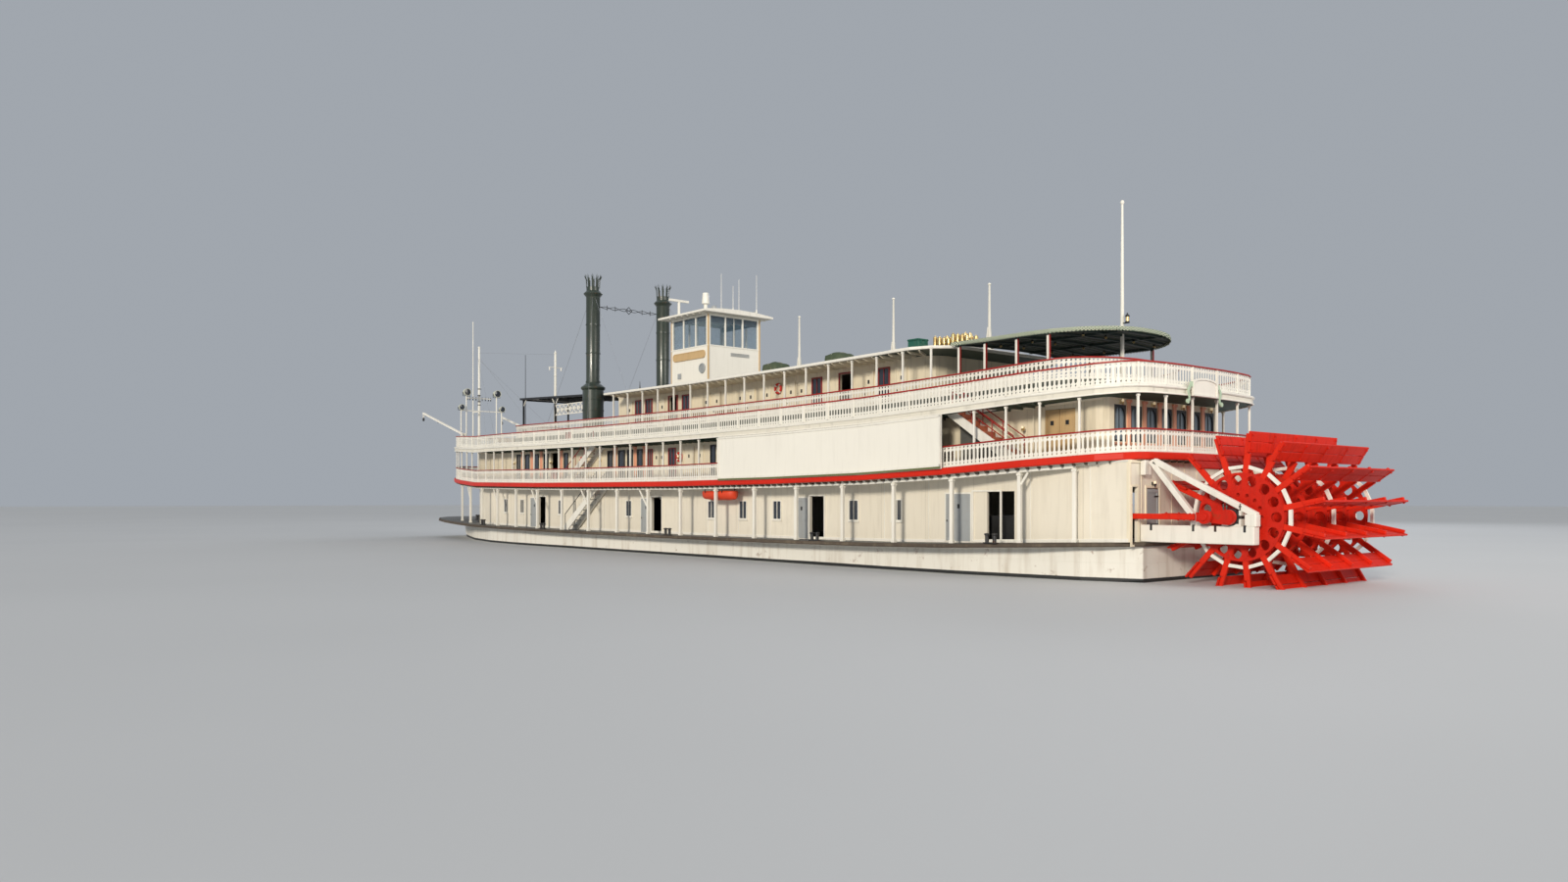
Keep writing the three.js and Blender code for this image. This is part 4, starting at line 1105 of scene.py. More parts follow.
def crank_web(angle, side):
    """An arm with round ends between the shaft and the crank pin."""
    bm = new_shape()
    big, small, throw = 0.029, 0.02, 0.08
    outline = [(-math.cos(a) * big, math.sin(a) * big) for a in (math.pi * (i / 10 - 0.5) for i in range(11))]
    outline += [(throw + math.cos(a) * small, -math.sin(a) * small)
                for a in (math.pi * (i / 8 - 0.5) for i in range(9))]
    plate(bm, outline, 0.018)
    rod(bm, (0, -0.012 * side, 0), (0, 0.0115 * side, 0), 0.024, sides=20)
    pin_start, pin_end = (-0.003 * side, 0.037 * side)
    rod(bm, (throw, pin_start, 0), (throw, pin_end, 0), 0.0119, sides=18)
    rod(bm, (throw, pin_end, 0), (throw, pin_end + 0.0035 * side, 0), 0.015, 0.0135, sides=18)
    bmesh.ops.transform(bm, verts=bm.verts, matrix=on_shaft(0.449 * side) @ Matrix.Rotation(-angle, 4, "Y"))
    return bm


for angle, side in ((0.0, 1), (math.pi / 2, -1)):
    set_down(shaft, crank_web(angle, side), Matrix.Identity(4))
rings = new_shape()
for y in RINGED:
    inner, outer, half = 0.186, 0.199, 0.0052
    lathe(rings, [(inner, -half), (outer, -half), (outer, half), (inner, half), (inner, -half)],
          on_shaft(y) @ Matrix.Rotation(-math.pi / 2, 4, "X"), ARMS)

piece("wheel_arms", arms, "wheel_red", "paddle_wheel", ["paddle_wheel"])
piece("wheel_buckets", buckets, "bucket_red", "paddle_wheel")
piece("bucket_irons", irons, "iron_red", "paddle_wheel")
piece("hub_plates", plates, "iron_red", "paddle_wheel")
piece("hub_bolts", bolts, "iron_red", "paddle_wheel")
piece("wheel_shaft", shaft, "iron_red", "paddle_wheel", smooth=35)
piece("wheel_rings", rings, "white", "paddle_wheel")
print(COUNT)

# %% [markdown]
# ## Pitmans and bearings
#
# A pitman is a long timber between two irons. It passes through a slot in the house's aft wall and takes
# hold of the crank pin with a split bearing, drawn up by a strap and two keys. The shaft itself lies in
# a block on each wheel beam, held down by a cap with four bolts.


# %% Pitmans
def pitman_shape():
    """The port pitman with its crank pin at the origin, lying along X."""
    bm = new_shape()
    block(bm, (0.04, 0.4655, -0.011), (0.47, 0.4785, 0.011), 0.0022)
    return bm


def pitman_irons():
    bm = new_shape()
    turn_y = Matrix.Rotation(-math.pi / 2, 4, "X")
    for x, outer in ((0.0, 0.0265), (0.48, 0.0225)):
        bore = 0.0128 if x == 0.0 else 0.009
        lathe(bm, [(bore, 0.4615), (outer - 0.002, 0.4615), (outer, 0.4635), (outer, 0.4805),
                   (outer - 0.002, 0.4825), (bore, 0.4825), (bore, 0.4615)], shift(x, 0, 0) @ turn_y, 24)
    for z in (-0.0122, 0.0122):
        for x0, x1 in ((0.018, 0.12), (0.395, 0.466)):
            block(bm, (x0, 0.4655, min(z, z * 0.86)), (x1, 0.4785, max(z, z * 0.86)), 0.0005)
    for x in (0.045, 0.06, 0.085, 0.108, 0.41, 0.43, 0.45):
        rod(bm, (x, 0.472, -0.0145), (x, 0.472, 0.0145), 0.0028, sides=6)
    block(bm, (0.026, 0.464, -0.0175), (0.032, 0.48, 0.0175), 0.0006)
    return bm


for side, offset, turn_by in (("port", Vector((0.08, 0, 0)), 1), ("starboard", Vector((0, 0, 0.08)), -1)):
    for name, make, finish in (("pitman_timber", pitman_shape, "wheel_red"),
                               ("pitman_irons", pitman_irons, "iron_red")):
        bm = make()
        if turn_by < 0:
            flipped = mirrored(bm)
            bm.free()
            bm = flipped
        bmesh.ops.translate(bm, verts=bm.verts, vec=SHAFT + offset)
        gone = [f"pitman_{side}"] if name == "pitman_timber" else ()
        piece(f"{name}_{side}", bm, finish, f"pitman_{side}", gone, smooth=35)

# %% Bearings and braces' irons
bearing = new_shape()
rod(bearing, SHAFT + Vector((0, 0.3865, 0)), SHAFT + Vector((0, 0.4335, 0)), 0.0325, sides=24)
block(bearing, SHAFT + Vector((-0.04, 0.39, -0.006)), SHAFT + Vector((0.04, 0.43, 0.006)), 0.0015)
for x in (-0.033, 0.033):
    for y in (0.398, 0.422):
        rod(bearing, SHAFT + Vector((x, y, 0.005)), SHAFT + Vector((x, y, 0.05)), 0.0025, sides=6)
        rod(bearing, SHAFT + Vector((x, y, 0.0375)), SHAFT + Vector((x, y, 0.0425)), 0.005, sides=6)
for x in (0.06, 0.15, 0.33, -0.055):
    block(bearing, SHAFT + Vector((x - 0.005, 0.3868, -0.056)), SHAFT + Vector((x + 0.005, 0.4332, -0.03)),
          0.001)
pair("shaft_bearing", bearing, "iron", smooth=35)
print(COUNT)

# %% [markdown]
# ## Joinery: windows, doors and wall lamps
#
# The walls of the cabins are thin, and most of their character is joinery: frames that stand a little
# proud, panes set back behind them, doors with two panels and a small dark light, and brass lamps on
# brackets. A frame is a flat board with a hole, filled between two outlines and extruded. The same few
# makers serve every wall, so a window only needs its place and its size.


# %% Outlines and boards with holes
def rect(x0, x1, z0, z1):
    return [(x0, z0), (x1, z0), (x1, z1), (x0, z1)]


def arched(x0, x1, z0, z1, rise):
    half, middle = (x1 - x0) / 2, (x0 + x1) / 2
    top = [(middle + half * math.cos(math.pi * k / 8), z1 - rise + rise * math.sin(math.pi * k / 8))
           for k in range(9)]
    return [(x0, z0), (x1, z0), *top]


def cut_board(bm, outline, holes, thick, place):
    """A flat board in local X and Z with holes through it, thick towards local Y on both sides."""
    part = new_shape()
    edges = []
    for loop in (outline, *holes):
        verts = [part.verts.new((x, -thick / 2, z)) for x, z in loop]
        edges += [part.edges.new(ends) for ends in zip(verts, verts[1:] + verts[:1])]
    bmesh.ops.triangle_fill(part, use_beauty=True, use_dissolve=False, edges=edges)
    thicken(part, list(part.faces), (0, thick, 0))
    face_out(part, part.verts)
    set_down(bm, part, place)


def set_block(bm, place, low, high, chamfer=0.0):
    set_down(bm, block(new_shape(), low, high, chamfer), place)


WALL_LINE = {name: Path(rim_of(name)) for name in ("main_house_aft", "main_house_fore", "boiler_cabin",
                                                   "texas_cabin")}


def on_wall(name, station, z):
    """A place on the port face of a wall: X runs forward, Y points outboard."""
    path = WALL_LINE[name]
    point, along = path.place(path.reach(at(station)))
    return frame_at(Vector((point.x, point.y, z)), along)


def on_deck(wall, deck, station, lift=0.0):
    """A place on a wall, at a height above the deck in front of it."""
    return on_wall(wall, station, deck_at(deck, station) + lift)


def facing_aft(x, y, z):
    """A place on a wall that faces aft: X runs to port, Y points aft."""
    turned = Matrix(((0, -1, 0), (1, 0, 0), (0, 0, 1))).to_4x4()
    return Matrix.Translation((x, y, z)) @ turned


print({name: len(path.points) for name, path in WALL_LINE.items()})


# %% A window, a door, a lamp
ACROSS = Matrix.Rotation(math.pi / 2, 4, "Z")
DOOR_LIGHT = 0.013


def window(frames, panes, place, wide, low, high, rise=0.0, bars=0, trim=0.007):
    inner = arched(-wide / 2, wide / 2, low, high, rise) if rise else rect(-wide / 2, wide / 2, low, high)
    outer = rect(-wide / 2 - trim, wide / 2 + trim, low - trim, high + trim)
    lift = shift(0, 0.0028, 0)
    cut_board(frames, outer, [inner], 0.0052, place @ lift)
    set_block(frames, place, (-wide / 2 - trim - 0.003, 0.0, low - trim - 0.004),
              (wide / 2 + trim + 0.003, 0.0085, low - trim + 0.001))
    for k in range(bars):
        x = -wide / 2 + wide * (k + 1) / (bars + 1)
        set_block(frames, place, (x - 0.0016, 0.0012, low), (x + 0.0016, 0.0048, high))
    set_block(panes, place, (-wide / 2 - 0.001, -0.001, low - 0.001),
              (wide / 2 + 0.001, 0.0014, high + 0.001))


def door(leaves, trims, lights, place, wide, tall):
    """A leaf with two sunk panels and a small square light, in a frame."""
    half = wide / 2
    panel = [rect(-half + 0.01, half - 0.01, 0.018, tall * 0.44),
             rect(-half + 0.01, half - 0.01, tall * 0.5, tall - 0.016)]
    set_block(leaves, place, (-half, 0.0, 0.004), (half, 0.0016, tall))
    cut_board(leaves, rect(-half, half, 0.004, tall), panel, 0.003, place @ shift(0, 0.0028, 0))
    set_block(lights, place, (-DOOR_LIGHT / 2, 0.001, tall * 0.7),
              (DOOR_LIGHT / 2, 0.0024, tall * 0.7 + DOOR_LIGHT * 1.5))
    cut_board(trims, rect(-half - 0.007, half + 0.007, 0.001, tall + 0.008),
              [rect(-half - 0.0005, half + 0.0005, 0.003, tall + 0.0005)],
              0.0062, place @ shift(0, 0.0031, 0))
    set_block(lights, place, (half - 0.008, 0.0035, tall * 0.42), (half - 0.004, 0.0075, tall * 0.46))


def doorway(trims, place, half, tall, edge=0.009):
    """The flat frame of an open way."""
    cut_board(trims, rect(-half - edge, half + edge, 0.002, tall + 0.008), [rect(-half, half, 0.004, tall)],
              0.0062, place @ shift(0, 0.0031, 0))


def wall_lamp(brasses, globes, place):
    set_block(brasses, place, (-0.0045, 0.0, -0.01), (0.0045, 0.002, 0.006), 0.0006)
    rod(brasses, place @ Vector((0, 0.001, -0.006)), place @ Vector((0, 0.013, -0.008)), 0.0016, sides=6)
    out = place @ shift(0, 0.013, 0)
    lathe(globes, [(0.0, 0.011), (0.0045, 0.009), (0.006, 0.004), (0.0048, -0.001), (0.0, -0.0012)], out, 12)
    lathe(brasses, [(0.0, -0.001), (0.0062, -0.0012), (0.005, -0.006), (0.0022, -0.01), (0.003, -0.013),
                    (0.0, -0.016)], out, 10)


def battens(bm, line, stations, deck, low, high, wide=0.004, proud=0.0018):
    """Thin upright strips that cover the joints of a wall's panels."""
    for s in stations:
        x = at(s)
        place = on_wall(line, s, 0.0)
        set_block(bm, place, (-wide / 2, 0.0, deck_top(deck, x) + low), (wide / 2, proud, high(x)))


def skirting(bm, line, x0, x1, deck, tall):
    flat = WALL_LINE[line].between(x0, x1)
    for p in flat.points:
        p.z = deck_top(deck, p.x) + 0.001
    sweep(bm, Path(flat.points), [(0.0, 0.0), (0.0035, 0.0), (0.0035, tall - 0.002), (0.002, tall),
                                  (0.0, tall)])


def cove(bm, line, x0, x1, deck, under):
    """A small moulding where a wall meets the deck above it."""
    flat = WALL_LINE[line].between(x0, x1)
    for p in flat.points:
        p.z = deck_top(deck, p.x) - under
    sweep(bm, Path(flat.points), [(0.0, 0.0), (0.006, 0.0), (0.006, -0.002), (0.002, -0.008), (0.0, -0.008)])


print("joinery ready")

# %% [markdown]
# ## Main deck
#
# Here the machinery lives. The house is plain: boards with cover strips, a few dark windows, doorways
# with their doors hooked back. Around it stand square posts with knees that carry the guard of the deck
# above, whose beams' ends show as a row of small brackets below the red strake.

# %% Posts, knees, beam and brackets
MAIN_POSTS = [0.605, 0.838, *(1.179 + 0.347 * k for k in range(8)), *(3.965 + 0.358 * k for k in range(9))]
post_line = Path(RIM["boiler_deck"]).inset(0.041)
posts, beam, brackets = shapes(3)


def under_boiler(x):
    return deck_top("boiler_deck", x) - 0.03


for k, station in enumerate(MAIN_POSTS):
    point, along = post_line.place(post_line.reach(at(station)))
    place = frame_at(Vector((point.x, point.y, 0)), along)
    foot, head = deck_top("main_deck", point.x), under_boiler(point.x) - 0.0175
    set_block(posts, place, (-0.008, -0.008, foot + 0.001), (0.008, 0.008, head), 0.0012)
    for half, z0, z1 in ((0.0105, foot + 0.001, foot + 0.016), (0.011, head - 0.014, head - 0.004)):
        set_block(posts, place, (-half, -half, z0), (half, half, z1), 0.0012)
    knees = ((-1, 0.04),) if k == 1 else ((1, 0.095),) if station > 3.4 and k % 2 else ()
    for way, reach in knees:
        bar(posts, place @ Vector((way * 0.006, 0, head - reach - 0.012)),
            place @ Vector((way * reach, 0, head - 0.002)), 0.0075, 0.0095, 0.0008)
beam_path = post_line.between(at(0.6), at(7.1))
for p in beam_path.points:
    p.z = under_boiler(p.x) - 0.0005
sweep(beam, beam_path, [(-0.007, 0.0), (0.007, 0.0), (0.007, -0.016), (0.0055, -0.018), (-0.0055, -0.018),
                        (-0.007, -0.016)])
bracket = plate(new_shape(), [(0.0, 0.0), (-0.03, 0.0), (-0.03, -0.01), (-0.01, -0.01), (0.0, -0.003)], 0.006,
                ACROSS)
rim_line = Path(RIM["boiler_deck"]).inset(0.004)
places = []
for distance in rim_line.steps(0.05):
    point, along = rim_line.place(distance)
    if point.y > 0.03:
        places.append(frame_at(Vector((point.x, point.y, under_boiler(point.x) - 0.0004)), along))
stamp(brackets, bracket, places)
set_down(posts, beam, Matrix.Identity(4))
pair("guard_posts", posts, "white", replaces=["main_posts"])
pair("guard_brackets", brackets, "fender")
print("posts", len(MAIN_POSTS), "brackets", 2 * len(places), COUNT)

# %% Main house: cover strips, skirting, windows and doors hooked back
strips, frames, panes, leaves, trims, lights = shapes(6)
HOUSE_SPAN = {"main_house_aft": (0.384, 3.438), "main_house_fore": (3.442, 6.45)}
HOUSE_WAYS = [1.075, 2.2, 3.7, 5.2]
for line, (s0, s1) in HOUSE_SPAN.items():
    skirting(strips, line, at(s0), at(s1), "main_deck", 0.014)
    cove(strips, line, at(s0), at(s1), "boiler_deck", 0.0305)
    stations = [s for s in (0.55 + 0.29 * k for k in range(21)) if s0 < s < s1
                and all(abs(s - w) > 0.1 for w in HOUSE_WAYS)]
    battens(strips, line, stations, "main_deck", 0.014, lambda x: under_boiler(x) - 0.008)
    for s in (1.62 + 0.3 * k for k in range(15)):
        if s0 + 0.05 < s < s1 - 0.05 and all(abs(s - w) > 0.14 for w in HOUSE_WAYS) and abs(s - 4.5) > 0.28:
            window(frames, panes, on_wall(line, s + 0.005, deck_at("main_deck", s)), 0.06, 0.105, 0.2, bars=1)
for s in HOUSE_WAYS:
    line = "main_house_aft" if s < 3.44 else "main_house_fore"
    half = 0.075 if s < 1.5 else 0.055
    z = deck_at("main_deck", s)
    place = on_wall(line, s, z)
    doorway(trims, place, half, 0.226)
    door(leaves, trims, lights, on_wall(line, s + 2 * half + 0.014, z) @ shift(0, 0.0005, 0),
         2 * half - 0.006, 0.216)
pair("main_house_strips", strips, "white")
pair("main_house_windows", frames, "white")
pair("main_house_glass", panes, "glass")
pair("main_house_doors", leaves, "grey", slot="grey_door")
pair("main_house_trims", trims, "white")
pair("main_house_lights", lights, "black")

# %% The house's aft wall: strips, slots, door and lamp
strips, irons, globes = shapes(3)
aft_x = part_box("main_house_aft")[0][0]
z0, z1 = deck_top("main_deck", aft_x) + 0.001, under_boiler(aft_x) - 0.001
for y in (0.0, 0.098, 0.196, 0.286, 0.42):
    for side in ((1, -1) if y else (1,)):
        if not (side > 0 and 0.29 < y < 0.4):
            set_block(strips, facing_aft(aft_x, y * side, 0), (-0.002, 0.0, z0), (0.002, 0.0018, z1))
set_block(strips, facing_aft(aft_x, 0, 0), (-0.44, 0.0, z0), (0.294, 0.003, z0 + 0.014))
set_block(strips, facing_aft(aft_x, 0, 0), (-0.5, 0.0, z1 - 0.012), (0.5, 0.005, z1), 0.0012)
for side in (1, -1):
    set_block(strips, facing_aft(aft_x, 0.501 * side, 0), (-0.006, -0.012, z0), (0.006, 0.003, z1), 0.001)
    slot_frame, slot = sorted((0.44 * side, 0.5 * side)), sorted((0.45 * side, 0.49 * side))
    cut_board(strips, rect(*slot_frame, 0.324, 0.57), [rect(*slot, 0.332, 0.562)], 0.0044,
              facing_aft(aft_x - 0.0022, 0, 0))
cut_board(strips, rect(0.289, 0.395, z0 + 0.001, z0 + 0.226),
          [rect(0.2965, 0.3885, z0 + 0.003, z0 + 0.2165)], 0.005, facing_aft(aft_x - 0.0025, 0, 0))
wall_lamp(irons, globes, facing_aft(aft_x, 0.342, z0 + 0.234))
piece("aft_wall_strips", strips, "cream_trim")
piece("aft_wall_lamp", irons, "iron")
piece("aft_wall_globe", globes, "lamp", smooth=40)
low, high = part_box("aft_door")
leaf, pulls = shapes(2)
panel_z = [(0.018, 0.092), (0.104, 0.19)]
cut_board(leaf, rect(low[1] + 0.001, high[1] - 0.001, low[2] + 0.001, high[2] - 0.001),
          [rect(low[1] + 0.012, high[1] - 0.012, low[2] + a, low[2] + b) for a, b in panel_z], 0.0026,
          facing_aft(low[0] - 0.0012, 0, 0))
set_block(pulls, facing_aft(low[0] - 0.002, high[1] - 0.007, low[2] + 0.098), (-0.002, 0.0, -0.008),
          (0.002, 0.006, 0.008), 0.0008)
for z in (0.03, 0.175):
    set_block(pulls, facing_aft(low[0] - 0.0022, low[1] + 0.012, low[2] + z), (-0.011, 0.0, -0.003),
              (0.02, 0.0012, 0.003))
piece("aft_door_frame", leaf, "grey", "aft_door")
piece("aft_door_irons", pulls, "iron", "aft_door")
print(COUNT)

# %% [markdown]
# ## Boiler-deck cabin
#
# The saloon has cream panels with fine upright joints, tan double doors near its after end, and a
# rounded corner. Across the stern it opens in a row of arched windows between salmon columns; forward of
# amidships, windows, doors and columns take turns.

# %% Saloon walls
strips, frames, panes, leaves, trims, lights, pillars, irons, globes = shapes(9)
line, deck = "boiler_cabin", "boiler_deck"


def texas_ceiling(x):
    return deck_top("texas_deck", x) - 0.0305


for s0, s1 in ((0.82, 2.943), (3.057, 4.943), (5.057, 6.56)):
    skirting(strips, line, at(s0), at(s1), deck, 0.012)
cove(strips, line, at(0.54), at(6.58), "texas_deck", 0.031)
SALOON_WAYS = [3.0, 5.0]
joints = [0.858, 0.995, 1.12, *(1.3 + 0.15 * k for k in range(11)), 2.93, 3.13, 3.445, 4.3, 4.42, 4.54,
          4.66, 4.78, 5.6, 5.9, 6.2]
battens(strips, line, joints, deck, 0.012, lambda x: texas_ceiling(x) - 0.008, 0.0026, 0.0012)
# Stations of what stands on the port wall: [from, to]
SALOON = {
    "tall": [(1.345, 1.405), (1.495, 1.555), (1.645, 1.705), (1.795, 1.855), (2.095, 2.155), (2.245, 2.305),
             (2.395, 2.455), (2.695, 2.755), (3.073, 3.125), (3.852, 3.912), (3.965, 4.03), (4.06, 4.14),
             (4.215, 4.275), (4.805, 4.865), (5.095, 5.165), (5.24, 5.31), (5.385, 5.455), (5.53, 5.59)],
    "door": [(3.194, 3.268), (3.288, 3.4), (3.606, 3.66), (3.667, 3.72), (4.56, 4.65)],
    "red": [(3.48, 3.56), (3.735, 3.79)],
    "column": [(3.797, 3.842), (3.922, 3.952), (4.16, 4.2), (4.885, 4.919), (5.185, 5.219), (5.33, 5.364),
               (5.475, 5.509)],
}


def column(bm, place, wide, foot, head):
    half = wide / 2
    for out, proud, z0, z1 in ((0.0, 0.006, foot, head), (0.004, 0.0095, foot, foot + 0.014),
                               (0.004, 0.0095, head - 0.012, head)):
        set_block(bm, place, (-half - out, 0.0, z0), (half + out, proud, z1), 0.0018)


reds = new_shape()
for kind, s0, s1 in [(kind, *span) for kind, spans in SALOON.items() for span in spans]:
    s, wide = (s0 + s1) / 2, s1 - s0
    z = deck_at(deck, s)
    place = on_wall(line, s, z)
    if kind == "tall":
        window(frames, panes, place, wide - 0.012, 0.03, 0.205, rise=0.016, trim=0.006)
    elif kind == "red":
        window(reds, panes, place, wide - 0.016, 0.034, 0.2, trim=0.008, bars=1)
    elif kind == "door":
        door(leaves, trims, lights, place, wide - 0.01, 0.205)
    else:
        column(pillars, place, wide, 0.002, texas_ceiling(at(s)) - z - 0.008)
for s in SALOON_WAYS:
    doorway(trims, on_deck(line, deck, s), 0.055, 0.216)
for s in (0.905, 2.02, 2.6, 3.442, 4.36, 5.045, 5.62):
    wall_lamp(irons, globes, on_deck(line, deck, s, 0.15))
pair("saloon_strips", strips, "cream_trim")
pair("saloon_frames", frames, "black")
pair("saloon_red_frames", reds, "frame_red")
pair("saloon_glass", panes, "glass")
pair("saloon_side_doors", leaves, "cream_trim")
pair("saloon_trims", trims, "cream_trim")
pair("saloon_lights", lights, "black")
pair("saloon_columns", pillars, "salmon")
print(COUNT)

# %% The double doors, on their own hinges
for leaf_name, side in (("aft", -1), ("fore", 1)):
    low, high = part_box(f"cabin_door_{leaf_name}_port")
    wide, tall = high[0] - low[0], high[2] - low[2]
    place = shift((low[0] + high[0]) / 2, high[1], low[2])
    leaf, light, pulls = shapes(3)
    half = wide / 2 - 0.001
    cut_board(leaf, rect(-half, half, 0.001, tall - 0.001),
              [rect(0.009 - half, half - 0.009, 0.014, 0.088),
               rect(0.009 - half, half - 0.009, 0.1, tall - 0.012)], 0.0024, place @ shift(0, 0.0012, 0))
    set_block(leaf, place, (-0.012, 0.0004, 0.135), (0.012, 0.0026, 0.161))
    set_block(light, place, (-0.0085, 0.0022, 0.1385), (0.0085, 0.0032, 0.1575))
    set_block(pulls, place, (-side * half + side * 0.004 - 0.0015, 0.0022, 0.088),
              (-side * half + side * 0.004 + 0.0015, 0.0062, 0.106))
    bodies = (f"cabin_door_{leaf_name}_port", f"cabin_door_{leaf_name}_starboard")
    pair(f"saloon_leaf_{leaf_name}", leaf, "tan", bodies)
    pair(f"saloon_leaf_light_{leaf_name}", light, "black", bodies)
    pair(f"saloon_leaf_pull_{leaf_name}", pulls, "brass", bodies)
print(COUNT)

# %% The stern windows of the saloon
frames, panes, pillars = shapes(3)
stern_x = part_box("boiler_cabin")[0][0]
stern_z = deck_top(deck, stern_x)
for k in range(7):
    y = -0.354 + 0.118 * k
    place = facing_aft(stern_x, y, stern_z)
    cut_board(frames, rect(-0.042, 0.042, 0.06, 0.212), [arched(-0.034, 0.034, 0.068, 0.204, 0.034)], 0.006,
              place @ shift(0, -0.0032, 0))
    set_block(frames, place, (-0.0012, -0.0075, 0.066), (0.0012, -0.004, 0.206))
    set_block(panes, place, (-0.0415, -0.009, 0.0605), (0.0415, -0.0065, 0.2115))
for k in range(6):
    y = -0.295 + 0.118 * k
    place = facing_aft(stern_x, y, stern_z)
    column(pillars, place, 0.026, 0.003, 0.236)
set_block(pillars, facing_aft(stern_x, 0, stern_z), (-0.396, 0.0, 0.046), (0.396, 0.0045, 0.056), 0.001)
for y in (0.118, 0.354):
    wall_lamp(irons, globes, facing_aft(stern_x, y, stern_z + 0.225))
piece("stern_window_frames", frames, "black")
piece("stern_window_glass", panes, "stern_glass")
piece("stern_columns", pillars, "salmon")
both_sides(irons)
both_sides(globes)
piece("saloon_lamps", irons, "brass", smooth=35)
piece("saloon_globes", globes, "lamp", smooth=40)
print(COUNT)

# %% [markdown]
# ## Texas cabin
#
# The crew's cabin is cream too, with dark red frames round blue-black panes and small doors between
# them. Its roof runs out over the walk on thin posts, and the ends of its rafters show under the edge.

# %% Walls of the Texas cabin
strips, frames, panes, leaves, trims, lights = shapes(6)
line, deck = "texas_cabin", "inner_deck"
TEXAS_WAYS = [2.145, 3.745]


def roof_ceiling(x):
    return deck_top("texas_roof", x) - 0.0145


for s0, s1 in ((1.72, 2.098), (2.192, 3.698), (3.792, 4.395)):
    skirting(strips, line, at(s0), at(s1), deck, 0.01)
cove(strips, line, at(1.72), at(4.395), "texas_roof", 0.015)
battens(strips, line, [s for s in (1.775 + 0.0975 * k for k in range(27))
                       if all(abs(s - w) > 0.06 for w in TEXAS_WAYS)],
        deck, 0.01, lambda x: roof_ceiling(x) - 0.008, 0.0024, 0.001)
TEXAS_WINDOWS = [1.864, 2.372, 3.602, 4.024, 4.147]
TEXAS_DOORS = [1.745, 1.975, 2.5, 2.59, 2.8, 2.95, 3.05, 3.28, 3.39, 3.87, 4.26]
for s in TEXAS_WINDOWS:
    window(frames, panes, on_deck(line, deck, s), 0.068, 0.03, 0.202, bars=1, trim=0.008)
for s in TEXAS_DOORS:
    door(leaves, trims, lights, on_deck(line, deck, s), 0.064, 0.196)
for s in TEXAS_WAYS:
    doorway(frames, on_deck(line, deck, s), 0.045, 0.206, 0.008)
pair("texas_strips", strips, "cream_trim")
pair("texas_frames", frames, "frame_red")
pair("texas_glass", panes, "glass")
pair("texas_doors", leaves, "cream_trim")
pair("texas_trims", trims, "cream_trim")
pair("texas_lights", lights, "black")

# %% Rafters under the Texas roof, and beams under the Texas deck
rafters, beams = shapes(2)
rafter = plate(new_shape(), [(0.0, 0.0), (-0.15, 0.0), (-0.15, -0.012), (-0.02, -0.012), (0.0, -0.004)],
               0.006, ACROSS)
roof_line = Path(RIM["texas_roof"]).inset(0.006)
places = []
for distance in roof_line.steps(0.0583):
    point, along = roof_line.place(distance)
    if at(1.5) < point.x < at(4.28) and point.y > 0.5:
        places.append(frame_at(Vector((point.x, point.y, roof_ceiling(point.x) + 0.0002)), along))
stamp(rafters, rafter, places)
beam_shape = plate(new_shape(), [(0.0, 0.0), (-0.13, 0.0), (-0.13, -0.012), (-0.02, -0.012), (0.0, -0.003)],
                   0.006, ACROSS)
texas_line = Path(RIM["texas_deck"]).inset(0.024)
places = []
for distance in texas_line.steps(0.0605):
    point, along = texas_line.place(distance)
    s = point.x - SHAFT.x
    clear_of_wells = not (0.97 < s < 1.26 or 4.27 < s < 4.56)
    if point.y > 0.6 and clear_of_wells:
        places.append(frame_at(Vector((point.x, point.y, texas_ceiling(point.x) + 0.0002)), along))
stamp(beams, beam_shape, places)
pair("roof_rafters", rafters, "cream_trim")
pair("texas_beams", beams, "under_green")
print(COUNT)

# %% [markdown]
# ## Stairs
#
# A ship's stair is two sloping boards with treads housed between them. On the quarter the treads are
# red-brown and the handrails dark red; forward the whole flight is white and open, so that light comes
# through. Each flight replaces a solid one with the same foot, head and width.


# %% One flight
def flight(foot, head, decks, under):
    """Returns strings, treads and rails of a port flight between two decks; decks are [lower, upper]."""
    strings, treads, rails = shapes(3)
    y0, y1 = 0.542, 0.622
    z0, z1 = deck_at(decks[0], foot), deck_at(decks[1], head) - 0.004
    way, count = math.copysign(1, head - foot), 9
    going, rise = abs(head - foot) / count, (z1 - z0) / count
    for y in (y0, y1):
        inner = y + 0.003 if y == y0 else y - 0.003
        outline = [(at(foot) - way * 0.006, z0 + 0.001), (at(foot) + way * 0.052, z0 + 0.001),
                   (at(head) - way * 0.004, z1 - 0.03),
                   (at(head) - way * 0.004, z1), (at(head) - way * 0.02, z1),
                   (at(foot) - way * 0.006, z0 + 0.024)]
        plate(strings, outline if way > 0 else outline[::-1], 0.006, shift(0, inner, 0))
        base = Vector((at(foot) + way * 0.012, inner, z0 + 0.02))
        top = Vector((at(head) - way * 0.03, inner, z1 - 0.012))
        for lift in (0.05, 0.088):
            if lift > 0.06 or not under:
                rod(rails, base + Vector((0, 0, lift)), top + Vector((0, 0, lift)), 0.0026, sides=8)
        for share in (0.0, 0.34, 0.67, 1.0):
            spot = base.lerp(top, share)
            rod(rails, spot, spot + Vector((0, 0, 0.088)), 0.0024, sides=6)
    for k in range(count):
        x, z = at(foot) + way * going * (k + 0.5), z0 + rise * (k + 1)
        block(treads, (x - going * 0.56, y0 + 0.006, z - 0.0055), (x + going * 0.56, y1 - 0.006, z), 0.0008)
        if not under:
            block(treads, (x + way * going * 0.45 - 0.0012, y0 + 0.006, z - 0.004),
                  (x + way * going * 0.45 + 0.0012, y1 - 0.006, min(z + rise - 0.005, z1)))
    return strings, treads, rails


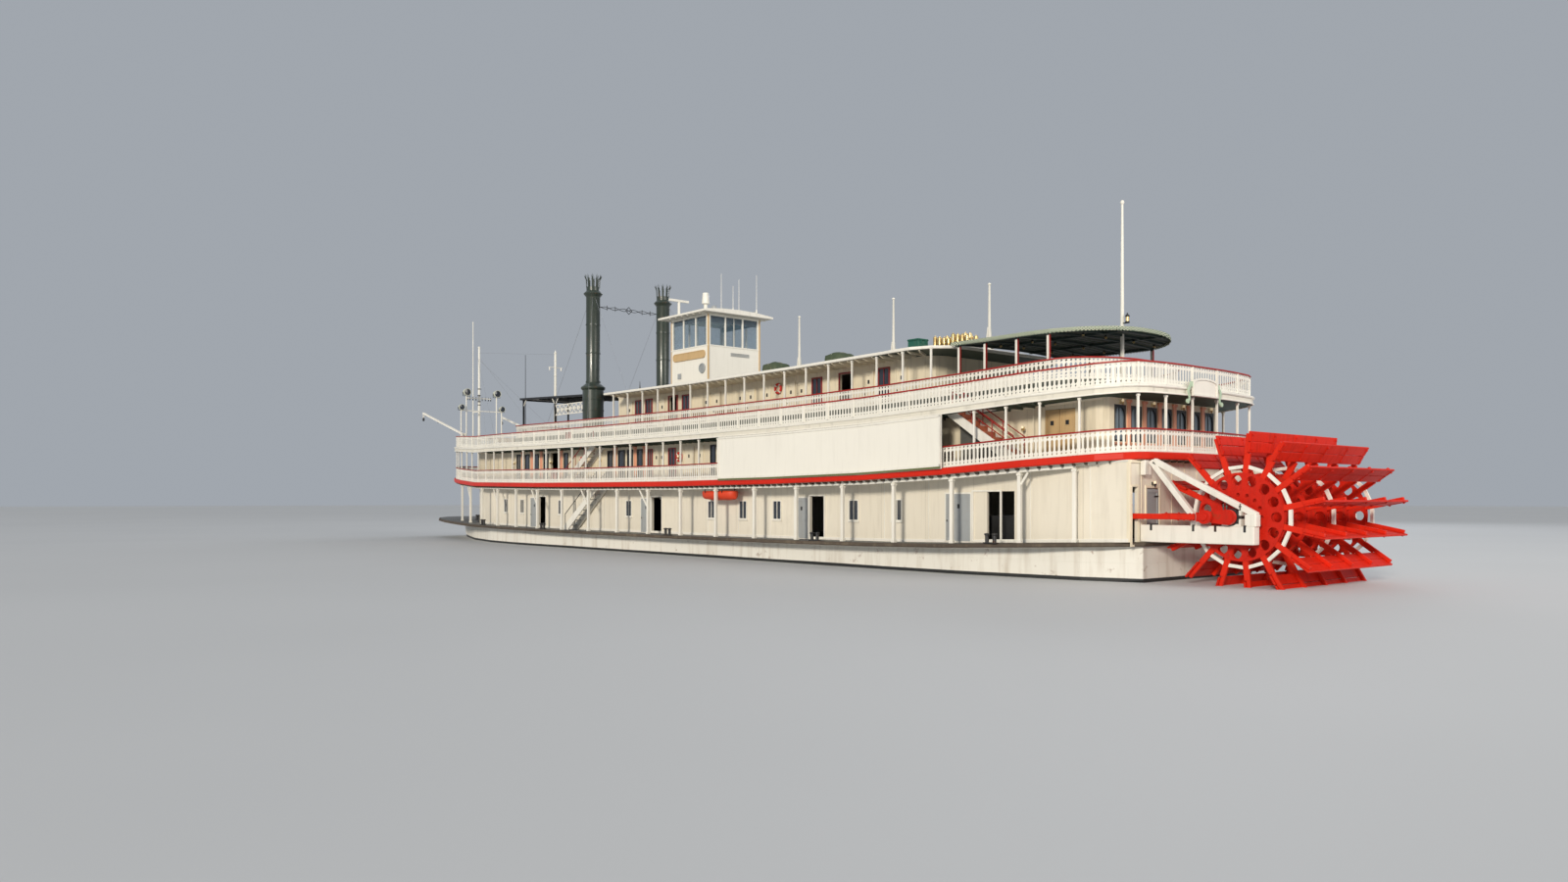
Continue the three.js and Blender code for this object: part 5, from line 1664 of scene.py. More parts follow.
# %% The three pairs of stairs
for name, foot, head, decks, tread, rail, open_treads in (
        ("aft", 0.85, 1.23, ("boiler_deck", "texas_deck"), "step_red", "cap_red", False),
        ("fore", 4.7, 4.3, ("boiler_deck", "texas_deck"), "white", "cap_red", True),
        ("main", 4.72, 4.26, ("main_deck", "boiler_deck"), "grey", "iron", True)):
    strings, treads, rails = flight(foot, head, decks, open_treads)
    pair(f"stair_{name}_strings", strings, "white", replaces=[f"stair_{name}"])
    pair(f"stair_{name}_treads", treads, tread, slot="red_wood" if tread == "step_red" else "white_paint")
    pair(f"stair_{name}_rails", rails, rail, smooth=40, slot="dark_iron")
locker = new_shape()
z0, z1 = deck_at("boiler_deck", 1.05) + 0.001, deck_at("texas_deck", 1.23) - 0.034
plate(locker, [(at(0.935), z0), (at(1.222), z0), (at(1.222), z1 - 0.01), (at(0.935), z0 + 0.01)], 0.006,
      shift(0, 0.5375, 0))
pair("stair_locker", locker, "dark_grey")
print(COUNT)

# %% [markdown]
# ## On the Texas roof
#
# The roof is a workplace: staffs stand on spread feet, floats lie under tarred covers, a locker and
# mushroom vents stand about, and a calliope waits near the after end. The calliope is a steam organ: two
# rows of brass whistles on a dark chest, each a foot pipe, a gap and a bell of its own length.


# %% Roof height under a point
def crown(station):
    """Top of the crowned roof near the centre line."""
    return deck_at("texas_roof", station) + 0.028


def tube(bm, points, radius, sides=6):
    """A round bar through several points."""
    for a, b in zip(points, points[1:]):
        rod(bm, a, b, radius, sides=sides)
    return bm


# %% Staffs, covers, locker and vents
feet, covers, straps, locker, vents = shapes(5)
for s, top in ((2.17, 1.61), (2.96, 1.61), (1.5, 1.59)):
    z = crown(s) - (0.014 if s < 1.6 else 0.001)
    for k in range(3):
        angle = math.tau * k / 3 + 0.5
        out = Vector((math.cos(angle) * 0.036, math.sin(angle) * 0.036, 0.0))
        foot = Vector((at(s), 0.0, z))
        bar(feet, foot + out, foot + out * 0.45 + Vector((0, 0, 0.045)), 0.006, 0.007)
        bar(feet, foot + out * 0.45 + Vector((0, 0, 0.044)), foot + out * 0.18 + Vector((0, 0, 0.13)),
            0.005, 0.006)
        block(feet, foot + out - Vector((0.007, 0.007, 0.0)), foot + out + Vector((0.007, 0.007, 0.003)))
    lathe(feet, [(0.0, top - 0.002), (0.0085, top - 0.001), (0.0085, top + 0.004), (0.0, top + 0.011)],
          shift(at(s), 0, 0), 12)
for s in (2.4, 2.95):
    mound = new_shape()
    made = bmesh.ops.create_cube(mound, size=1.0)
    bmesh.ops.subdivide_edges(mound, edges=list(mound.edges), cuts=5, use_grid_fill=True)
    for _ in range(5):
        bmesh.ops.smooth_vert(mound, verts=mound.verts, factor=0.5, use_axis_x=True, use_axis_y=True,
                              use_axis_z=True)
    bmesh.ops.bisect_plane(mound, geom=list(mound.verts) + list(mound.edges) + list(mound.faces),
                           plane_co=(0, 0, 0), plane_no=(0, 0, -1), clear_outer=True)
    bmesh.ops.holes_fill(mound, edges=[e for e in mound.edges if e.is_boundary], sides=0)
    tall = max(v.co.z for v in mound.verts)
    wide = max(v.co.x for v in mound.verts)
    for v in mound.verts:
        sag = 1.0 + 0.1 * noise.noise(v.co * 5.0 + Vector((s, 0, 0)))
        v.co = Vector((v.co.x / wide * 0.068, v.co.y / wide * 0.068, v.co.z / tall * 0.078 * sag))
    bmesh.ops.recalc_face_normals(mound, faces=mound.faces)
    stamp(covers, mound, [shift(at(s), 0.19, crown(s) - 0.002)])
    mound.free()
    for dx in (-0.03, 0.03):
        arch = [Vector((at(s) + dx, 0.19 + math.cos(a) * 0.0675,
                        crown(s) + 0.004 + math.sin(a) ** 0.6 * 0.0735))
                for a in (math.pi * k / 10 for k in range(11))]
        tube(straps, arch, 0.0016)
low_x, high_x, foot = at(1.778), at(1.852), crown(1.815)
block(locker, (low_x, 0.148, foot - 0.004), (high_x, 0.222, foot + 0.07), 0.002)
block(locker, (low_x - 0.003, 0.145, foot + 0.07), (high_x + 0.003, 0.225, foot + 0.08), 0.003)
for y in (0.168, 0.202):
    block(locker, (low_x - 0.0035, y - 0.003, foot + 0.056), (low_x, y + 0.003, foot + 0.074))
for s, y in ((3.46, 0.1), (3.3, -0.18), (2.62, -0.2), (2.02, -0.16), (4.16, 0.12), (4.16, -0.12),
             (3.1, 0.16), (2.6, 0.02)):
    lathe(vents, [(0.0, -0.004), (0.013, -0.004), (0.013, 0.003), (0.008, 0.005), (0.008, 0.028),
                  (0.019, 0.031), (0.02, 0.036), (0.012, 0.045), (0.0, 0.048)], shift(at(s), y, crown(s)), 14)
fore_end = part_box("texas_cabin")[1]
wall_top = max(v.co.z for v in bpy.data.objects["texas_cabin"].data.vertices if v.co.x > fore_end[0] - 0.02)
cover = new_shape()
block(cover, (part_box("texas_roof")[1][0] + 0.0004, -0.386, wall_top + 0.0002),
      (fore_end[0] + 0.006, 0.386, wall_top + 0.0065), 0.002)
piece("texas_fore_roof", cover, "white")
piece("staff_feet", feet, "white", smooth=35)
piece("float_covers", covers, "cover_green", smooth=60)
piece("float_straps", straps, "rope")
piece("roof_locker", locker, "locker_green")
piece("roof_vents", vents, "white", smooth=40)
print(COUNT)

# %% Calliope
brasses, chest = shapes(2)
block(chest, (at(1.598), -0.062, crown(1.72) + 0.028), (at(1.852), 0.062, crown(1.72) + 0.046), 0.003)
block(chest, (at(1.604), -0.056, crown(1.72) + 0.045), (at(1.846), 0.056, crown(1.72) + 0.0475), 0.001)
for s in (1.62, 1.83):
    for y in (-0.05, 0.05):
        bar(chest, (at(s), y, crown(s) + 0.001), (at(s), y * 0.9, crown(s) + 0.032), 0.009, 0.009)
rod(chest, (at(1.6), 0.0, crown(1.6) + 0.036), (at(1.56), 0.0, crown(1.6) + 0.036), 0.008, sides=12)
rod(chest, (at(1.565), 0.0, crown(1.6) + 0.036), (at(1.565), 0.0, crown(1.6) + 0.001), 0.008, sides=12)
for i in range(8):
    s = 1.615 + 0.031 * i
    for y, lag in ((-0.035, 0), (0.035, 0), (-0.006, 2)):
        z, tall = crown(s) + 0.0465, 0.046 + 0.006 * ((i + lag) % 4)
        lathe(brasses, [(0.0, 0.0), (0.007, 0.0), (0.007, 0.002), (0.004, 0.003), (0.004, 0.009),
                        (0.011, 0.011), (0.011, 0.0135), (0.0045, 0.0145), (0.0045, 0.017), (0.011, 0.0175),
                        (0.011, tall - 0.004), (0.008, tall - 0.001), (0.003, tall), (0.003, tall + 0.004),
                        (0.0, tall + 0.006)], shift(at(s) + 0.0155 * (lag > 0), y, z), 14)
piece("calliope_whistles", brasses, "brass", replaces=["calliope"], smooth=35)
piece("calliope_chest", chest, "black", smooth=35)
print(COUNT)

# %% [markdown]
# ## Pilothouse
#
# The steersman needs to see all round, so the upper half is glass between slim white posts. Below the
# port windows hangs a blank board with round ends, where a name would be. On the roof stand the masts
# that a working boat carries today.

# %% Glass and glazing bars
low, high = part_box("pilothouse")
base = crown(3.7)
sill, head = base + 0.258, base + 0.443
glass, bars_of_house, mouldings, corners, inside = shapes(5)
x_panes = [(low[0] + 0.02, at(3.737)), (at(3.747), at(3.873)), (at(3.883), high[0] - 0.02)]
y_panes = [(-0.19, -0.075), (-0.065, 0.065), (0.075, 0.19)]
moulding_heights = [(sill - 0.009, sill - 0.001), (head + 0.001, head + 0.008), (base + 0.002, base + 0.016)]
for side in (1, -1):
    for a, b in x_panes:
        block(glass, (a - 0.001, side * 0.205 - 0.0009, sill - 0.001),
              (b + 0.001, side * 0.205 + 0.0009, head + 0.001))
    for z0, z1 in moulding_heights:
        beside_door = z0 < base + 0.01 and side < 0
        x0 = at(3.745) if beside_door else low[0] - 0.002
        block(mouldings, (x0, side * 0.2105 - 0.0025, z0), (high[0] + 0.002, side * 0.2105 + 0.0025, z1),
              0.0008)
for x in (low[0], high[0]):
    out = -1 if x == low[0] else 1
    for a, b in y_panes:
        block(glass, (x - out * 0.005 - 0.0009, a - 0.001, sill - 0.001),
              (x - out * 0.005 + 0.0009, b + 0.001, head + 0.001))
    block(bars_of_house, (x - out * 0.005 - 0.003, -0.0014, sill), (x - out * 0.005 + 0.003, 0.0014, head))
    for z0, z1 in moulding_heights:
        block(mouldings, (x - 0.0025, -0.208, z0), (x + 0.0025, 0.208, z1), 0.0008)
    for y in (-0.208, 0.208):
        block(corners, (x - 0.0045, y - 0.0045, base + 0.002), (x + 0.0045, y + 0.0045, head + 0.01), 0.001)
for y in (-0.196, 0.196):
    block(inside, (low[0] + 0.016, y - 0.001, head - 0.03), (high[0] - 0.016, y + 0.001, head + 0.004))
block(inside, (low[0] + 0.014, -0.19, head - 0.04), (low[0] + 0.016, 0.19, head + 0.004))
block(inside, (at(3.9), -0.15, base + 0.004), (at(3.985), 0.15, base + 0.235), 0.003)
block(inside, (low[0] + 0.03, -0.18, base + 0.004), (low[0] + 0.085, 0.06, base + 0.262), 0.004)
piece("pilothouse_panes", glass, "clear")
piece("pilothouse_corners", corners, "tan")
piece("pilothouse_furniture", inside, "dark_brown")
piece("pilothouse_bars", bars_of_house, "white")
piece("pilothouse_mouldings", mouldings, "white")

# %% Blank board, vent, grille, door and the wheel inside
name_board, vent, grille, leaf, helm = shapes(5)
z0, z1, half = base + 0.176, base + 0.226, 0.178
ends = [(math.cos(a), math.sin(a)) for a in (math.pi * (k / 6 - 0.5) for k in range(7))]
round_ends = [(half - 0.02 + c * 0.02, (z0 + z1) / 2 + s * (z1 - z0) / 2) for c, s in ends]
round_ends += [(-x, 2 * ((z0 + z1) / 2) - z) for x, z in round_ends]
plate(name_board, round_ends, 0.006, shift(at(3.81), 0.2135, 0))
inner_edge = [(x * 0.965, (z0 + z1) / 2 + (z - (z0 + z1) / 2) * 0.8) for x, z in round_ends]
cut_board(name_board, round_ends, [inner_edge], 0.0025, shift(at(3.81), 0.2175, 0))
lay_y = shift(at(3.665), 0.2105, base + 0.11) @ Matrix.Rotation(-math.pi / 2, 4, "X")
lathe(vent, [(0.0, 0.003), (0.024, 0.003), (0.026, 0.008), (0.03, 0.009), (0.033, 0.005), (0.033, 0.0),
             (0.0, 0.0)], lay_y, 24)
for k in range(6):
    block(vent, (at(3.665) - 0.0235, 0.2135, base + 0.09 + 0.008 * k - 0.0008),
          (at(3.665) + 0.0235, 0.2155, base + 0.09 + 0.008 * k + 0.0008))
for k in range(4):
    block(grille, (low[0] - 0.0035, -0.12, base + 0.196 + 0.006 * k),
          (low[0], 0.03, base + 0.1985 + 0.006 * k))
block(grille, (at(3.9), 0.2095, base + 0.06), (at(3.935), 0.217, base + 0.095), 0.001)
door_low, door_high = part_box("pilothouse_door")
cut_board(leaf, rect(door_low[0] + 0.001, door_high[0] - 0.001, door_low[2] + 0.001, door_high[2] - 0.001),
          [rect(door_low[0] + 0.01, door_high[0] - 0.01, door_low[2] + a, door_low[2] + b)
           for a, b in ((0.014, 0.088), (0.1, 0.19))], 0.0024, shift(0, door_low[1] - 0.0011, 0))
block(leaf, (door_high[0] - 0.0075, door_low[1] - 0.006, door_low[2] + 0.088),
      (door_high[0] - 0.0035, door_low[1] - 0.002, door_low[2] + 0.104))
helm_place = shift(at(3.88), 0.0, base + 0.19) @ Matrix.Rotation(math.pi / 2, 4, "Y")
lathe(helm, [(0.06 + 0.0045 * math.cos(a), 0.0045 * math.sin(a))
             for a in (math.tau * k / 8 for k in range(9))], helm_place, 24)
for angle in turns(8):
    rod(helm, helm_place @ Vector((0, 0, 0)),
        helm_place @ Vector((math.cos(angle) * 0.078, math.sin(angle) * 0.078, 0)), 0.0028, sides=6)
bar(helm, (at(3.89), 0, base + 0.004), (at(3.89), 0, base + 0.2), 0.02, 0.02, 0.002)
piece("blank_board", name_board, "tan")
piece("pilothouse_vent", vent, "grey", smooth=35)
piece("pilothouse_grille", grille, "grey")
piece("pilothouse_door_face", leaf, "tan", "pilothouse_door")
piece("steering_wheel", helm, "tan", smooth=40)
print(COUNT)

# %% Roof edge, masts and lamps
eave = base + 0.46
trim, whips, fittings = shapes(3)
edge_x = (at(3.81) - 0.262, at(3.81) + 0.262)
for y in (-0.275, 0.275):
    block(trim, (edge_x[0] - 0.003, y - 0.003, eave - 0.002), (edge_x[1] + 0.003, y + 0.003, eave + 0.011),
          0.001)
for x in edge_x:
    block(trim, (x - 0.003, -0.2725, eave - 0.002), (x + 0.003, 0.2725, eave + 0.011), 0.001)
for x in (at(3.62) + 0.065 * k for k in range(6)):
    block(trim, (x - 0.003, -0.27, eave - 0.0085), (x + 0.003, 0.27, eave - 0.0005))
for y, s, top in ((0.0, 3.745, 2.0), (0.0, 3.618, 1.9), (-0.15, 3.75, 1.98), (-0.15, 3.562, 1.98)):
    lathe(whips, [(0.0, 0.0), (0.005, 0.0), (0.004, 0.02), (0.002, 0.024), (0.0012, top - eave - 0.032),
                  (0.0, top - eave - 0.03)], shift(at(s), y, eave + 0.028), 8)
for x, y in ((at(3.66), 0.12), (at(3.66), -0.22), (at(4.0), 0.05)):
    lathe(fittings, [(0.0, 0.0), (0.012, 0.0), (0.012, 0.012), (0.018, 0.016), (0.018, 0.034),
                     (0.01, 0.042), (0.0, 0.043)], shift(x, y, eave + 0.018), 14)
rod(fittings, (at(4.02), -0.11, eave + 0.02), (at(4.02), -0.11, eave + 0.062), 0.0035, sides=8)
lathe(fittings, [(0.0, -0.016), (0.014, -0.016), (0.019, 0.016), (0.017, 0.018), (0.0, 0.01)],
      shift(at(4.028), -0.11, eave + 0.072) @ Matrix.Rotation(math.pi / 2, 4, "Y"), 16)
piece("pilothouse_eave", trim, "white")
piece("pilothouse_whips", whips, "white", smooth=40)
piece("pilothouse_fittings", fittings, "grey", smooth=35)

# %% The bell ahead of the pilothouse
bell, yoke = shapes(2)
bell_at = shift(at(4.235), 0.0, crown(4.235))
lathe(bell, [(0.0, 0.062), (0.01, 0.061), (0.015, 0.054), (0.017, 0.038), (0.024, 0.024), (0.026, 0.02),
             (0.022, 0.02), (0.014, 0.034), (0.01, 0.05), (0.0, 0.052)], bell_at, 24)
for y in (-0.036, 0.036):
    bar(yoke, bell_at @ Vector((0, y, 0.0)), bell_at @ Vector((0, y, 0.07)), 0.007, 0.007, 0.001)
rod(yoke, bell_at @ Vector((0, -0.04, 0.066)), bell_at @ Vector((0, 0.04, 0.066)), 0.0032, sides=8)
block(yoke, bell_at @ Vector((-0.012, -0.044, -0.003)), bell_at @ Vector((0.012, 0.044, 0.004)), 0.001)
piece("bell", bell, "brass", smooth=40)
piece("bell_yoke", yoke, "white", smooth=35)
print(COUNT)

# %% [markdown]
# ## Stacks
#
# Two tall stacks of rolled plate carry a crown of leaves at the top, like iron feathers. The pipe rises
# from a wider sleeve; one band marks the joint of its two lengths, and a sharp cornice throws the crown
# out. Between the stacks hangs a spreader of twisted bar with a diamond in its middle.


# %% Pipe, sleeve and crown
def stack_leaf():
    """One leaf of the crown, standing at the origin and leaning outwards along X."""
    bm = new_shape()
    bar(bm, (0.0, 0, 0.0), (0.004, 0, 0.07), 0.0105, 0.0035)
    for side in (-1, 0, 1):
        rod(bm, (0.003, 0.0, 0.062), (0.0165 if side else 0.011, side * 0.0085, 0.09 if side else 0.101),
            0.003, 0.0008, sides=4)
    bar(bm, (0.0035, -0.0075, 0.06), (0.0035, 0.0075, 0.06), 0.0035, 0.005)
    return bm


STACK_X = at(4.88)
pipe, bands, leaves = shapes(3)
base_z = deck_top("inner_deck", STACK_X) + 0.001
lathe(pipe, [(0.0, base_z), (0.083, base_z), (0.083, base_z + 0.012), (0.075, base_z + 0.014),
             (0.075, 1.295), (0.084, 1.302), (0.087, 1.308), (0.087, 1.317), (0.062, 1.336), (0.053, 1.343),
             (0.05, 1.35), (0.05, 1.962), (0.053, 1.968), (0.066, 1.983), (0.068, 1.987), (0.066, 1.991),
             (0.052, 2.004), (0.048, 2.008), (0.048, 2.036), (0.044, 2.036), (0.043, 1.93), (0.0, 1.93)],
      None, 40)
for z, r in ((1.56, 0.05), (1.765, 0.05), (1.355, 0.0505), (1.15, 0.0752), (1.23, 0.0752)):
    lathe(bands, [(r - 0.001, z - 0.006), (r + 0.0022, z - 0.005), (r + 0.0022, z + 0.005),
                  (r - 0.001, z + 0.006), (r - 0.001, z - 0.006)], None, 40)
    for angle in turns(20):
        rod(bands, (math.cos(angle) * (r + 0.0018), math.sin(angle) * (r + 0.0018), z),
            (math.cos(angle) * (r + 0.0036), math.sin(angle) * (r + 0.0036), z), 0.0016, sides=5)
leaf_shape = stack_leaf()
stamp(leaves, leaf_shape, [Matrix.Rotation(math.tau * k / 10, 4, "Z") @ shift(0.0465, 0, 2.026)
                           for k in range(10)])
for shape in (pipe, bands, leaves):
    bmesh.ops.translate(shape, verts=shape.verts, vec=(STACK_X, 0.3, 0.0))
for k in range(9):
    z = 1.38 + 0.062 * k
    bar(bands, (STACK_X - 0.052, 0.292, z), (STACK_X - 0.052, 0.308, z), 0.002, 0.002)
pair("stack_pipe", pipe, "stack_green", replaces=["stack"], smooth=35)
pair("stack_bands", bands, "stack_green", smooth=35)
pair("stack_crown", leaves, "stack_green")

# %% Spreader and stays
spreader, wires = shapes(2)
reach, z = 0.249, 1.9
for phase in (0.0, math.pi):
    wave = [Vector((STACK_X, -reach + 2 * reach * k / 48,
                    z + 0.009 * math.sin(phase + math.pi * 6 * k / 48) * min(1.0, 4 * (1 - abs(k / 24 - 1)))))
            for k in range(49)]
    tube(spreader, wave, 0.0022, 5)
diamond = [Vector((STACK_X, y, z + dz)) for y, dz in ((-0.026, 0), (0, 0.026), (0.026, 0), (0, -0.026),
                                                      (-0.026, 0))]
tube(spreader, diamond, 0.0026, 5)
for y in (-0.115, 0.115, -0.185, 0.185):
    tube(spreader, [Vector((STACK_X, y, z - 0.018)), Vector((STACK_X, y, z + 0.018))], 0.0024, 5)
for side in (1, -1):
    anchor = Vector((STACK_X, side * 0.3, 1.955))
    for s, y, foot_z in ((4.1, 0.5, deck_at("texas_roof", 4.1)), (5.65, 0.3, deck_at("inner_deck", 5.65)),
                         (4.55, 0.535, deck_at("inner_deck", 4.55) + 0.098)):
        way = (Vector((at(s), side * y, foot_z)) - anchor).normalized()
        rod(wires, anchor + Vector((way.x, way.y, 0)).normalized() * 0.05, (at(s), side * y, foot_z),
            0.0009, sides=5)
piece("stack_spreader_bar", spreader, "black", replaces=["stack_spreader"])
piece("stack_stays", wires, "wire")
print(COUNT)

# %% [markdown]
# ## Fore canopy
#
# Ahead of the Texas a thin dark canopy shades the way to the stacks. Its edge is a narrow board and its
# cross beams show below. Beside the port stack, a white lattice closes its side.

# %% Canopy edge, beams and lattice
edge, lattice = shapes(2)


def canopy_under(station):
    return 1.248 + 0.076 * (station - 4.31) / 1.88


for side in (1, -1):
    bar(edge, (at(4.31), side * 0.2155, canopy_under(4.31) + 0.004),
        (at(6.19), side * 0.2155, canopy_under(6.19) + 0.004), 0.005, 0.016, 0.001)
for s in (4.311, 6.189):
    block(edge, (at(s) - 0.003, -0.217, canopy_under(s) - 0.004),
          (at(s) + 0.003, 0.217, canopy_under(s) + 0.013), 0.001)
for s in (4.5 + 0.1375 * k for k in range(13)):
    if abs(s - 5.995) > 0.03:
        block(edge, (at(s) - 0.004, -0.208, canopy_under(s) - 0.01),
              (at(s) + 0.004, 0.208, canopy_under(s) - 0.0004))
posts = [4.5, 5.1, 5.62, 6.15]
for a, b in zip(posts, posts[1:]):
    for side in (1, -1):
        for way, s in ((1, a), (-1, b)):
            bar(lattice, (at(s + way * 0.007), side * 0.203, canopy_under(s) - 0.05),
                (at(s + way * 0.048), side * 0.203, canopy_under(s) - 0.003), 0.006, 0.007)
y, s0, s1 = 0.203, 5.108, 5.612
z0, z1 = 1.165, 1.24
for z in (z0, z1):
    bar(lattice, (at(s0), y, z), (at(s1), y, z), 0.006, 0.007)
for k in range(8):
    a, b = s0 + (s1 - s0) * k / 8, s0 + (s1 - s0) * (k + 1) / 8
    bar(lattice, (at(a), y, z0), (at(b), y, z1), 0.0035, 0.0065)
    bar(lattice, (at(a), y - 0.003, z1), (at(b), y - 0.003, z0), 0.0035, 0.0065)
    rod(lattice, (at((a + b) / 2), y - 0.004, (z0 + z1) / 2), (at((a + b) / 2), y + 0.003, (z0 + z1) / 2),
        0.015, sides=12)
    rod(lattice, (at(a) + 0.004, y - 0.002, (z0 + z1) / 2), (at(a) + 0.004, y + 0.003, (z0 + z1) / 2),
        0.0095, sides=12)
piece("canopy_edge", edge, "black")
piece("canopy_lattice", lattice, "white")

# %% The pole, the finial and the fore mast's fittings
mast_x = at(5.995)
poles, mast = shapes(2)
foot = deck_at("texas_deck", 6.52)
lathe(poles, [(0.0, foot), (0.01, foot), (0.01, foot + 0.006), (0.0035, foot + 0.012), (0.0022, 1.738),
              (0.0, 1.74)], shift(at(6.52), 0, 0), 8)
foot = deck_at("inner_deck", 4.73)
lathe(poles, [(0.0, foot), (0.016, foot), (0.016, foot + 0.01), (0.006, foot + 0.016), (0.006, 1.225),
              (0.0115, 1.24), (0.0045, 1.243)], shift(at(4.73), 0.0, 0), 10)
canopy_top = canopy_under(4.73) + 0.0095
lathe(poles, [(0.0, canopy_top), (0.011, canopy_top), (0.005, canopy_top + 0.01), (0.01, canopy_top + 0.03),
              (0.004, canopy_top + 0.052), (0.0015, canopy_top + 0.095), (0.0, canopy_top + 0.096)],
      shift(at(4.73), 0, 0), 10)
lathe(mast, [(0.0, 1.698), (0.012, 1.698), (0.013, 1.704), (0.006, 1.71), (0.004, 1.722), (0.0, 1.724)],
      shift(mast_x, 0, 0), 14)
for z in (1.36, 1.52, 1.64):
    r = 0.014 - 0.005 * (z - 1.0) / 0.7
    lathe(mast, [(r - 0.001, z - 0.004), (r + 0.002, z - 0.003), (r + 0.002, z + 0.003),
                 (r - 0.001, z + 0.004), (r - 0.001, z - 0.004)], shift(mast_x, 0, 0), 14)
bar(mast, (mast_x, -0.06, 1.585), (mast_x, 0.06, 1.585), 0.006, 0.006, 0.001)
for y in (-0.052, 0.052):
    rod(mast, (mast_x, y, 1.585), (mast_x, y, 1.56), 0.0055, sides=8)
piece("fore_poles", poles, "black", smooth=40)
piece("fore_mast_fittings", mast, "white", smooth=40)
print(COUNT)

# %% [markdown]
# ## The aft awning
#
# The awning is one stretched sheet over light ribs, with a rounded after end. Between the ribs the cloth
# sinks a little, and its after edge hangs in scallops. The sheet starts as a grid of unit width, takes
# the outline of the awning from a short table, and then follows the crown of the frame.

# %% The sheet
AWNING_HALF = [(0.6, 0.06), (0.608, 0.13), (0.63, 0.205), (0.665, 0.275), (0.715, 0.34), (0.77, 0.385),
               (0.83, 0.415), (0.9, 0.43), (1.375, 0.43)]
RIB_STEP = 0.0385
AWNING_END = 0.6


def awning_half(s):
    for (s0, h0), (s1, h1) in zip(AWNING_HALF, AWNING_HALF[1:]):
        if s <= s1:
            return h0 + (h1 - h0) * max(s - s0, 0.0) / (s1 - s0)
    return AWNING_HALF[-1][1]


def awning_height(y):
    return 1.24 + 0.015 * (1 - (y / 0.43) ** 2)


cloth = new_shape()
bmesh.ops.create_grid(cloth, x_segments=81, y_segments=48, size=1.0)
for v in cloth.verts:
    s = AWNING_END + 0.775 * ((v.co.x + 1) / 2) ** 1.35
    y = v.co.y * awning_half(s)
    sag = 0.0016 * abs(math.sin(math.pi * (s - AWNING_END) / RIB_STEP))
    v.co = Vector((at(s), y, awning_height(y) + 0.0025 - sag))
cut_area = sum(f.calc_area() for f in cloth.faces)
mesh_sheet = piece("awning_sheet", cloth, "awning", replaces=["aft_awning"], smooth=60)
thick = mesh_sheet.modifiers.new("cloth", "SOLIDIFY")
thick.thickness, thick.offset = 0.0016, 0.0
print("awning cut from", round(cut_area, 3), "square metres")

# %% Ribs, edge lattice and scallops
ribs, band = shapes(2)
for k in range(1, 20):
    s = AWNING_END + RIB_STEP * k
    half = awning_half(s) - 0.004
    across = [half * (i / 4 - 1) for i in range(9)]
    tube(ribs, [Vector((at(s), y, awning_height(y) - 0.003)) for y in across], 0.0022, 5)
outline = [Vector((at(s), h, awning_height(h))) for s, h in AWNING_HALF]
start = Vector((at(AWNING_END), 0.0, awning_height(0.0)))
edge_line = Path([start, *outline])
sweep(band, edge_line, [(-0.001, -0.006), (0.0025, -0.006), (0.0025, 0.006), (-0.001, 0.006)])
scallop = new_shape()
bmesh.ops.create_circle(scallop, cap_ends=True, segments=10, radius=0.007,
                        matrix=shift(0, 0, -0.006) @ Matrix.Rotation(math.pi / 2, 4, "X"))
thicken(scallop, list(scallop.faces), (0, 0.002, 0))
face_out(scallop, scallop.verts)
stamp(band, scallop, [frame_at(*edge_line.place(d)) for d in edge_line.steps(0.0165)])
pair("awning_band", band, "trellis")
piece("awning_ribs", ribs, "under_green")

# %% Painted shade on the posts' aft faces, lamps under the awning and the staff's lantern
post_shade_strips, irons, globes = shapes(3)
# Each awning post gets a thin dark red strip on its aft face, painted shade for its shaded side, and a dark
# red block at its foot.
for s in (0.84, 1.01, 1.19, 1.345):
    foot = deck_at("inner_deck", s)
    block(post_shade_strips, (at(s) - 0.0072, 0.4005, foot + 0.002), (at(s) - 0.0058, 0.4115, 1.226))
    block(post_shade_strips, (at(s) - 0.008, 0.398, foot + 0.001), (at(s) + 0.008, 0.414, foot + 0.008), 0.001)
for s in (0.74, 1.01, 1.19):
    for y in (0.11, 0.28):
        z = awning_height(y) - 0.013
        lathe(irons, [(0.0, z), (0.0035, z - 0.001), (0.0075, z - 0.008), (0.0, z - 0.0085)],
              shift(at(s) + 0.012, y, 0), 10)
        lathe(globes, [(0.0, z - 0.008), (0.006, z - 0.0085), (0.0065, z - 0.014), (0.0, z - 0.019)],
              shift(at(s) + 0.012, y, 0), 10)
for shape in (post_shade_strips, irons, globes):
    both_sides(shape)
staff_at = shift(at(0.74), 0, 0)
lantern_at = shift(at(0.714), 0, 0)
bar(irons, (at(0.74), 0, 1.302), (at(0.706), 0, 1.302), 0.01, 0.004)
lathe(irons, [(0.0, 1.304), (0.01, 1.304), (0.01, 1.309), (0.0, 1.309)], lantern_at, 12)
lathe(globes, [(0.0, 1.309), (0.0075, 1.309), (0.0075, 1.329), (0.0, 1.329)], lantern_at, 12)
lathe(irons, [(0.0, 1.329), (0.011, 1.329), (0.008, 1.338), (0.003, 1.341), (0.003, 1.346), (0.0, 1.347)],
      lantern_at, 12)
cap = new_shape()
lathe(cap, [(0.0, 1.838), (0.006, 1.838), (0.009, 1.843), (0.009, 1.848), (0.005, 1.855), (0.0, 1.857)],
      staff_at, 14)
piece("awning_post_shade_strips", post_shade_strips, "cap_red")
piece("awning_lamps", irons, "black", smooth=35)
piece("awning_globes", globes, "brass", smooth=40)
piece("aft_staff_cap", cap, "white", smooth=40)
print(COUNT)

